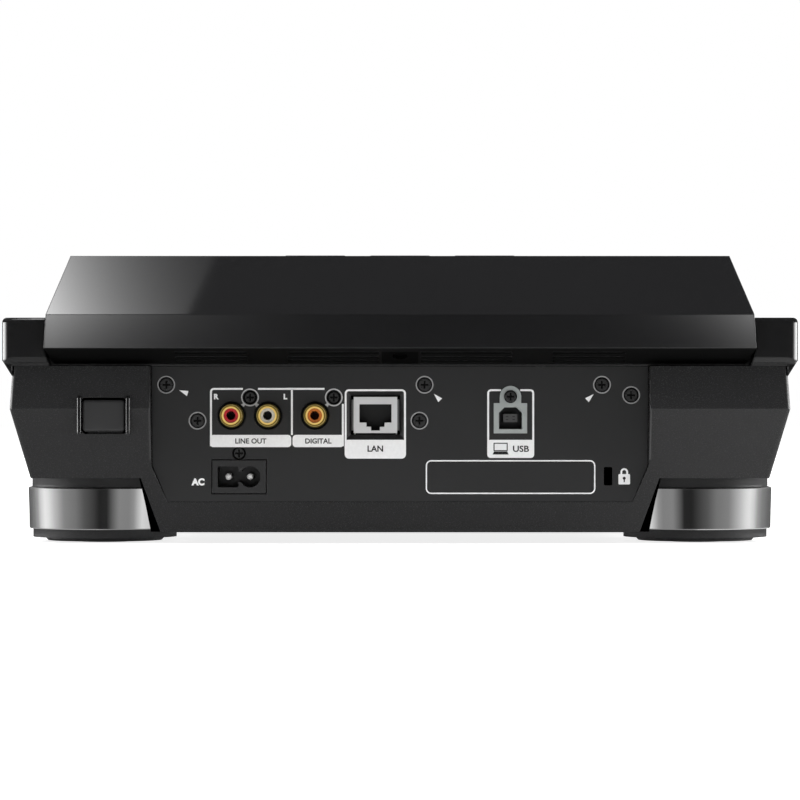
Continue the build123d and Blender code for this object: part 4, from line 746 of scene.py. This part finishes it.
NODE_MATERIALS = {          # a node that isn't named here is a key
    "lower_case": "case", "rear_panel": "panel", "top_case": "bumper", "display_hood": "hood",
    "touch_glass": "glass", "lcd_module": "display", "foot_collars": "collar", "foot_rings": "ring",
    "foot_pads": "rubber", "bottom_screws": "black_screw", "rear_screws": "slotted_screw",
    "board_screws": "steel", "rca_bodies": "hollow_shade", "rca_sleeves": "gold", "rca_inserts": "rca_cores",
    "link_jack_shield": "tin", "usb_b_shield": "bracket", "usb_a_shell": "tin", "socket_cores": "socket",
    "ac_inlet": "inlet", "ac_inlet_pins": "nickel", "power_switch": "socket", "power_button": "button",
    "circuit_boards": "board", "key_boards": "board", "key_switches": "socket", "rotary_bodies": "steel",
    "jog_knob": "knob", "vinyl_speed_knob": "knob", "tempo_fader_track": "socket",
    "tempo_fader_knob": "knob", "direction_lever": "knob", "pivot_pins": "steel", "jog_holder": "case",
    "jog_bearing": "bronze", "jog_dial": "dial", "jog_plate": "plate", "jog_spindle": "steel",
    "jog_encoder_ring": "socket", "jog_sensor": "socket", "browse_shaft": "steel", "browse_knob": "knob",
    "play_button": "round_key", "cue_button": "round_key",
}


def dress_nodes(materials):
    for name, node in NODES.items():
        node.data.materials.clear()
        node.data.materials.append(materials[NODE_MATERIALS.get(name, "key")])


# ---------------------------------------------------------------- printed marks
CAPITALS = 0.73             # the height of capitals, as a share of a font's size
MITRE = 0.3                 # keeps a sharp corner's mitre short


def arc(u, v, r, start, end, steps):
    """Points along a round stretch, from start to end in degrees."""
    turns = [radians(start + (end - start) * i / steps) for i in range(steps + 1)]
    return [(u + r * cos(turn), v + r * sin(turn)) for turn in turns]


def rounded(u0, u1, v0, v1, r, steps=6):
    """A rectangle's outline with round corners."""
    corners = ((u1 - r, v1 - r, 0), (u0 + r, v1 - r, 90), (u0 + r, v0 + r, 180), (u1 - r, v0 + r, 270))
    return [point for u, v, start in corners for point in arc(u, v, r, start, start + 90, steps)]


def eased(points, r, steps=5):
    """An open line with its corners rounded."""
    line = [Vector(points[0])]
    for before, at, after in zip(points, points[1:], points[2:]):
        at = Vector(at)
        back = (Vector(before) - at).normalized() * r
        on = (Vector(after) - at).normalized() * r
        line += [at + back * (1 - i / steps) ** 2 + on * (i / steps) ** 2 for i in range(steps + 1)]
    return line + [Vector(points[-1])]


class Sheet:
    """Collects flat outlines drawn on one surface, and turns them into one thin mesh per ink."""

    def __init__(self, origin, across, up):
        self.origin = Vector(origin)
        self.across = Vector(across).normalized()
        self.up = Vector(up).normalized()
        self.out = self.across.cross(self.up)
        self.faces = {}

    def point(self, u, v, lift):
        return self.origin + self.across * u * MM + self.up * v * MM + self.out * (INK + lift)

    def polygon(self, ink, points, lift=0.0):
        self.faces.setdefault(ink, []).append([self.point(u, v, lift) for u, v in points])

    def box(self, ink, u0, u1, v0, v1, lift=0.0):
        self.polygon(ink, [(u0, v0), (u1, v0), (u1, v1), (u0, v1)], lift)

    def outline(self, ink, points, width, closed=True, lift=0.0):
        """A line of one width along points, mitred at its corners."""
        n = len(points)
        inner, outer = [], []
        for i, (u, v) in enumerate(points):
            before = points[i - 1] if closed or i else points[i]
            after = points[(i + 1) % n] if closed or i < n - 1 else points[i]
            a = Vector((u - before[0], v - before[1]))
            b = Vector((after[0] - u, after[1] - v))
            a = a.normalized() if a.length > 1e-9 else b.normalized()
            b = b.normalized() if b.length > 1e-9 else a
            side = Vector((-(a + b).y, (a + b).x)).normalized()
            reach = width / 2 / max(MITRE, side.dot(Vector((-a.y, a.x))))
            inner.append((u + side.x * reach, v + side.y * reach))
            outer.append((u - side.x * reach, v - side.y * reach))
        for i in range(n if closed else n - 1):
            j = (i + 1) % n
            self.polygon(ink, [outer[i], outer[j], inner[j], inner[i]], lift)

    def ring(self, ink, u, v, r, width, steps=48):
        self.outline(ink, arc(u, v, r, 0, 360, steps)[:-1], width)

    def text(self, ink, words, u, v, height, lift=0.0, squeeze=1.0, weight=0.03):
        """Plain letters centred on (u, v), with capitals of the given height."""
        curve = bpy.data.curves.new("text", "FONT")
        curve.body = words
        curve.align_x = "CENTER"
        curve.align_y = "CENTER"
        curve.size = height / CAPITALS
        curve.offset = weight * height
        curve.resolution_u = 3
        holder = add(bpy.data.objects.new("text", curve))
        bpy.context.view_layer.update()
        mesh = bpy.data.meshes.new_from_object(holder.evaluated_get(bpy.context.evaluated_depsgraph_get()))
        spots = [(u + vertex.co.x * squeeze, v + vertex.co.y) for vertex in mesh.vertices]
        for face in mesh.polygons:
            self.polygon(ink, [spots[i] for i in face.vertices], lift)
        bpy.data.objects.remove(holder)
        bpy.data.curves.remove(curve)
        bpy.data.meshes.remove(mesh)

    def build(self, name, body, materials, slot):
        for ink, faces in self.faces.items():
            made = bmesh.new()
            for points in faces:
                made.faces.new([made.verts.new(p) for p in points])
            bmesh.ops.remove_doubles(made, verts=made.verts, dist=1e-7)
            mesh = bpy.data.meshes.new(f"{name}_{ink}")
            made.to_mesh(mesh)
            made.free()
            mesh.materials.append(materials[ink])
            obj = add(bpy.data.objects.new(f"{name}_{ink}", mesh))
            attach(obj, body)


def deck_sheet(z, u=0.0, v=0.0):
    """A sheet that lies flat over (u, v), with u along X and v along Y."""
    return Sheet((u * MM, v * MM, z), (1, 0, 0), (0, 1, 0))


def rear_sheet(y):
    """An upright sheet that faces the rear, with u to the viewer's right and v up."""
    return Sheet((0, y, 0), (-1, 0, 0), (0, 0, 1))


# ---------------------------------------------------------------- marks on the rear panel
FRAME_LINE = 0.75
FRAME_CORNER = 1.3
PANEL_SCREWS = ((-90.4, 61.7), (-78.3, 47.8), (9.5, 61.7), (7.5, 47.8), (78.1, 61.7), (89.4, 57.7))
SOCKET_SCREWS = ((-58.0, 56.8), (-25.6, 56.8))
SCREW_RING = 3.2
POINTERS = (                # small triangles that point at panel screws
    [(-85.4, 59.6), (-81.8, 59.3), (-82.4, 57.3)],
    [(13.1, 58.2), (16.3, 56.4), (14.8, 55.0)],
    [(74.9, 58.1), (73.0, 55.0), (71.6, 56.5)],
)
TONGUE = (42.7, 48.8)       # the middle of the USB-B socket's tongue
TONGUE_IN = 0.8 * MM        # its face, in from the panel's
NAME_PLATE = (10.2, 75.3, 19.7, 32.3)       # left bare


def frame_line(sheet, points):
    sheet.outline("white_ink", eased(points, FRAME_CORNER), FRAME_LINE, False)


def label(sheet, u0, u1, v0, v1):
    """Draws a filled band, and says where the middle of its words goes."""
    sheet.polygon("white_ink", rounded(u0, u1, v0, v1, FRAME_CORNER), INK / 2)
    return (u0 + u1) / 2, (v0 + v1) / 2 - 0.1


def label_words(sheet, words, spot, height, squeeze=1.0):
    sheet.text("black_ink", words, *spot, height, 2 * INK, squeeze)


def audio_frame(sheet):
    """The analogue and digital outputs share a frame, with gaps round two screws."""
    left, right, low, high, band, parting = -73.1, -22.1, 37.95, 60.1, 42.3, -41.8
    frame_line(sheet, [(-60.8, high), (left, high), (left, low)])
    frame_line(sheet, [(-54.9, high), (-29.2, high)])
    frame_line(sheet, [(right, 54.3), (right, low)])
    frame_line(sheet, [(parting, high), (parting, band)])
    foot = low - FRAME_LINE / 2
    label_words(sheet, "LINE OUT", label(sheet, left - FRAME_LINE / 2, parting - 0.25, foot, band), 2.0)
    label_words(sheet, "DIGITAL", label(sheet, parting + 0.25, right + FRAME_LINE / 2, foot, band), 2.0)
    for letter, u in (("R", -71.2), ("L", -44.4)):
        sheet.text("white_ink", letter, u, 57.0, 2.0, weight=0.08)


def network_frame(sheet):
    left, right, low, high, band = -21.4, 2.3, 33.5, 59.95, 40.4
    half = FRAME_LINE / 2
    sheet.outline("white_ink", rounded(left + half, right - half, low, high - half, FRAME_CORNER), FRAME_LINE)
    label_words(sheet, "LAN", label(sheet, left, right, low, band), 2.4)


def laptop(sheet, ink, u, v, w, lift):
    """A plain computer sign: an open screen over a solid base."""
    half, low, high = 0.41 * w, v - 0.11 * w, v + 0.35 * w
    screen = [(u - half, low), (u + half, low), (u + half, high), (u - half, high)]
    sheet.outline(ink, screen, 0.06 * w, lift=lift)
    low, high = v - 0.35 * w, v - 0.16 * w
    sheet.polygon(ink, [(u - w / 2, low), (u + w / 2, low), (u + half, high), (u - half, high)], lift)


def usb_frame(sheet):
    """A frame with a gap round the bracket's screw; its label holds a computer sign."""
    left, right, low, high, band = 34.1, 51.5, 33.4, 59.6, 40.4
    for gap, side in ((39.1, left), (46.5, right)):
        frame_line(sheet, [(gap, high), (side, high), (side, low + FRAME_CORNER)])
    _, v = label(sheet, left - FRAME_LINE / 2, right + FRAME_LINE / 2, low, band)
    laptop(sheet, "black_ink", 38.9, (low + band) / 2, 6.2, 2 * INK)
    label_words(sheet, "USB", (46.7, v), 2.4, 1.12)


def padlock(sheet, u, v, w, h):
    """A plain padlock sign, from the foot of its body: body, shackle and keyhole."""
    sheet.polygon("white_ink", rounded(u - w / 2, u + w / 2, v, v + h, 0.35))
    reach = 0.25 * w
    shackle = [(u - reach, v + h), *arc(u, v + 1.2 * h, reach, 180, 0, 12), (u + reach, v + h)]
    sheet.outline("white_ink", shackle, 0.16 * w, False, INK / 2)
    sheet.polygon("black_ink", arc(u, v + 0.6 * h, 0.13 * w, 0, 360, 32)[:-1], INK)
    sheet.box("black_ink", u - 0.05 * w, u + 0.05 * w, v + 0.22 * h, v + 0.6 * h, INK)


def wedge(sheet, ink, spot, turn):
    """A small pointer that leaves a screw's ring along a direction."""
    along = Vector((cos(radians(turn)), sin(radians(turn))))
    side = Vector((-along.y, along.x))
    tip, foot = Vector(spot) + along * 2.95, Vector(spot) + along * 4.4
    corners = [tip - side * 0.35, foot - side * 0.75, foot + side * 0.75, tip + side * 0.35]
    sheet.polygon(ink, corners, INK / 2)


def screw_marks(sheet):
    """Rings round the panel's screws, and rings with pointers round the sockets' screws."""
    for points in POINTERS:
        sheet.polygon("white_ink", points)
    for u, v in PANEL_SCREWS:
        sheet.ring("grey_ink", u, v, SCREW_RING, 0.5)
    for u, v in SOCKET_SCREWS:
        sheet.ring("pale_ink", u, v, SCREW_RING, 0.5)
    analogue, digital = SOCKET_SCREWS
    for spot, turn in ((analogue, 228), (analogue, -48), (digital, 228)):
        wedge(sheet, "pale_ink", spot, turn)


def tongue_marks(materials):
    """The face of the USB-B socket's tongue and its flat contacts."""
    sheet = rear_sheet(PANEL_Y - TONGUE_IN)
    u, v = TONGUE
    sheet.box("contact", u - 2.7, u + 2.7, v - 1.55, v + 1.55)
    for du in (-1.3, 1.3):
        for dv in (-0.6, 0.6):
            sheet.box("black_ink", u + du - 0.5, u + du + 0.5, v + dv - 0.15, v + dv + 0.15, INK)
    sheet.build("usb_tongue_print", "case", materials, "socket_plastic")


def rear_marks(materials):
    """Frames, label bands, words and signs on the rear panel."""
    sheet = rear_sheet(PANEL_Y)
    audio_frame(sheet)
    network_frame(sheet)
    usb_frame(sheet)
    sheet.outline("white_ink", rounded(*NAME_PLATE, 1.9), 0.5)
    sheet.text("white_ink", "AC", -78.0, 24.0, 2.5, weight=0.08)
    padlock(sheet, 86.7, 23.15, 4.5, 4.0)
    screw_marks(sheet)
    tongue_marks(materials)
    sheet.build("rear_print", "case", materials, "panel_plastic")


# ---------------------------------------------------------------- marks on the deck, the hood and the keys
KEY_RISE = 1.8 * MM         # the hood's keys, above its face
FADER_RISE = 9.65 * MM      # the middle of the fader's cap, above the deck
WORD_RISE = 6.95            # a rocker's words, up from its middle
DECK_WORDS = (              # words, the node beside them, how far up from its middle, height of capitals
    ("CUE", "cue_button", 22.65, 3.0),
    ("TRACK", "track_rocker", WORD_RISE, 2.1),
    ("SEARCH", "search_rocker", WORD_RISE, 2.1),
    ("REV", "direction_lever", -11.0, 2.0),
    ("FWD", "direction_lever", 10.5, 2.0),
    ("IN", "loop_in_button", 8.0, 2.0),
    ("OUT", "loop_out_button", 8.0, 2.0),
    ("RELOOP", "reloop_button", 8.0, 2.0),
    ("LOOP", "loop_out_button", 12.2, 1.7),
    ("A", "hot_cue_a", -7.5, 2.4),
    ("B", "hot_cue_b", -7.5, 2.4),
    ("C", "hot_cue_c", -7.5, 2.4),
    ("D", "hot_cue_d", -7.5, 2.4),
    ("SYNC", "sync_button", 7.5, 2.0),
    ("RANGE", "tempo_range_button", 6.6, 1.7),
    ("KEY", "master_tempo_button", 6.6, 1.7),
    ("TEMPO", "tempo_fader_track", 61.05, 2.4),
    ("TOUCH", "jog_knob", -12.6, 1.9),
    ("SPEED", "vinyl_speed_knob", -12.6, 1.9),
)


def triangle(sheet, u, v, w, h):
    """A triangle that points along +u for a positive width."""
    sheet.polygon("white_ink", [(u - w / 2, v - h / 2), (u + w / 2, v), (u - w / 2, v + h / 2)])


def play_sign(sheet):
    """A triangle, a stroke and two bars over the play button."""
    u, v = middle("play_button")
    v += 22.45
    triangle(sheet, u - 4.0, v, 3.6, 3.6)
    for shift in (-0.2, 1.6):
        sheet.box("white_ink", u + shift, u + shift + 0.9, v - 1.8, v + 1.8)
    sheet.outline("white_ink", [(u - 1.7, v - 2.0), (u - 0.7, v + 2.0)], 0.3, False)


def rocker_signs(sheet):
    """Arrows at both ends of the two rockers: doubled for search, against a bar for track."""
    for side in (-1, 1):
        for node in ("search_rocker", "track_rocker"):
            u, v = middle(node)
            u += side * 14.0
            v += WORD_RISE
            triangle(sheet, u, v, side * 2.0, 2.0)
            if node == "search_rocker":
                triangle(sheet, u + side * 2.0, v, side * 2.0, 2.0)
            else:
                sheet.box("white_ink", u + side * 1.3 - 0.25, u + side * 1.3 + 0.25, v - 1.0, v + 1.0)


def fader_scale(sheet):
    """Ticks at both sides of the tempo fader, with signs at its ends and its middle."""
    u, v = middle("tempo_fader_track")
    for i in range(-10, 11):
        tick = v + 5.0 * i
        reach = 4.5 if i % 5 == 0 else 2.6
        for side in (-1, 1):
            u0, u1 = sorted((u + side * 10.2, u + side * (10.2 + reach)))
            sheet.box("white_ink", u0, u1, tick - 0.18, tick + 0.18)
    for sign, shift, height in (("0", 0.0, 2.2), ("-", 50.0, 2.6), ("+", -50.0, 2.6)):
        sheet.text("white_ink", sign, u + 17.0, v + shift, height)


def knob_scale(sheet, node, ends):
    """Ticks round a small knob, and a word at either end of its turn."""
    u, v = middle(node)
    for i in range(11):
        turn = radians(-50 + 28 * i)
        outer = 10.0 if i % 5 == 0 else 9.4
        tick = [(u + r * cos(turn), v + r * sin(turn)) for r in (8.6, outer)]
        sheet.outline("white_ink", tick, 0.3, False)
    for side, words in zip((-1, 1), ends):
        sheet.text("white_ink", words, u + side * 10.5, v - 9.6, 1.4)


def deck_marks(materials):
    """Words, signs and scales on the deck."""
    sheet = deck_sheet(DECK_Z)
    for words, node, shift, height in DECK_WORDS:
        u, v = middle(node)
        sheet.text("white_ink", words, u, v + shift, height)
    play_sign(sheet)
    rocker_signs(sheet)
    fader_scale(sheet)
    knob_scale(sheet, "jog_knob", ("LIGHT", "HEAVY"))
    knob_scale(sheet, "vinyl_speed_knob", ("FAST", "SLOW"))
    u, v = middle("direction_lever")
    sheet.outline("grey_ink", rounded(u - 6.2, u + 6.2, v - 13.5, v + 13.5, 2.0), 0.3)
    (first, v), (last, _) = middle("hot_cue_a"), middle("hot_cue_d")
    sheet.outline("grey_ink", [(first - 8.7, v - 11.0), (last + 8.8, v - 11.0)], 0.3, False)
    sheet.build("deck_print", "case", materials, "case_plastic")


def hood_marks(materials):
    """Words on the tilted face and on its keys; u is X and v runs up the face."""
    across, up = (1, 0, 0), (0, cos(FACE_TILT), sin(FACE_TILT))
    sheet = Sheet(FACE_FOOT, across, up)
    sheet.text("white_ink", "BACK", middle("back_key")[0], 79.6, 1.9)
    sheet.text("white_ink", "SELECT", middle("browse_knob")[0], 45.0, 1.9)
    u = MOUNTS["usb_a_port"].x / MM
    sheet.text("white_ink", "USB", u, 54.0, 2.2)
    sheet.outline("white_ink", rounded(u - 10.0, u + 10.0, 50.5, 68.5, 1.5), 0.3)
    sheet.build("hood_print", "case", materials, "hood_plastic")
    for key, word in (("browse_key", "BROWSE"), ("info_key", "INFO"), ("menu_key", "MENU")):
        cap = Sheet(FACE_FOOT + sheet.out * KEY_RISE, across, up)
        cap.text("white_ink", word, middle(key)[0], 98.0, 1.9)
        cap.build(f"{key}_print", key, materials, "key_plastic")


def moving_marks(materials):
    """Rings on the play and cue buttons, the jog plate's marks and the fader cap's line."""
    for name, ink in (("play_button", "green_ink"), ("cue_button", "orange_ink")):
        sheet = deck_sheet(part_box(name)[1].z)
        sheet.ring(ink, *middle(name), 15.6, 0.9, steps=64)
        sheet.build(f"{name}_print", name, materials, "round_key_plastic")
    plate = deck_sheet(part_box("jog_plate")[1].z, *middle("jog_dial"))
    plate.ring("black_ink", 0, 0, 31.0, 0.6, steps=96)
    plate.ring("grey_ink", 0, 0, 78.0, 0.4, steps=128)
    plate.box("white_ink", -0.5, 0.5, 24.0, 30.0)
    plate.build("jog_plate_print", "jog_plate", materials, "plate_metal")
    fader = deck_sheet(DECK_Z + FADER_RISE)
    u, v = middle("tempo_fader_knob")
    fader.box("white_ink", u - 8.0, u + 8.0, v - 0.35, v + 0.35)
    fader.build("tempo_fader_print", "tempo_fader", materials, "knob_plastic")


make_camera()
make_world()
make_floor()
make_studio()
make_lamps()
MATERIALS = make_materials()
dress_nodes(MATERIALS)
rear_marks(MATERIALS)
deck_marks(MATERIALS)
hood_marks(MATERIALS)
moving_marks(MATERIALS)
bpy.context.scene.view_settings.view_transform = "Standard"
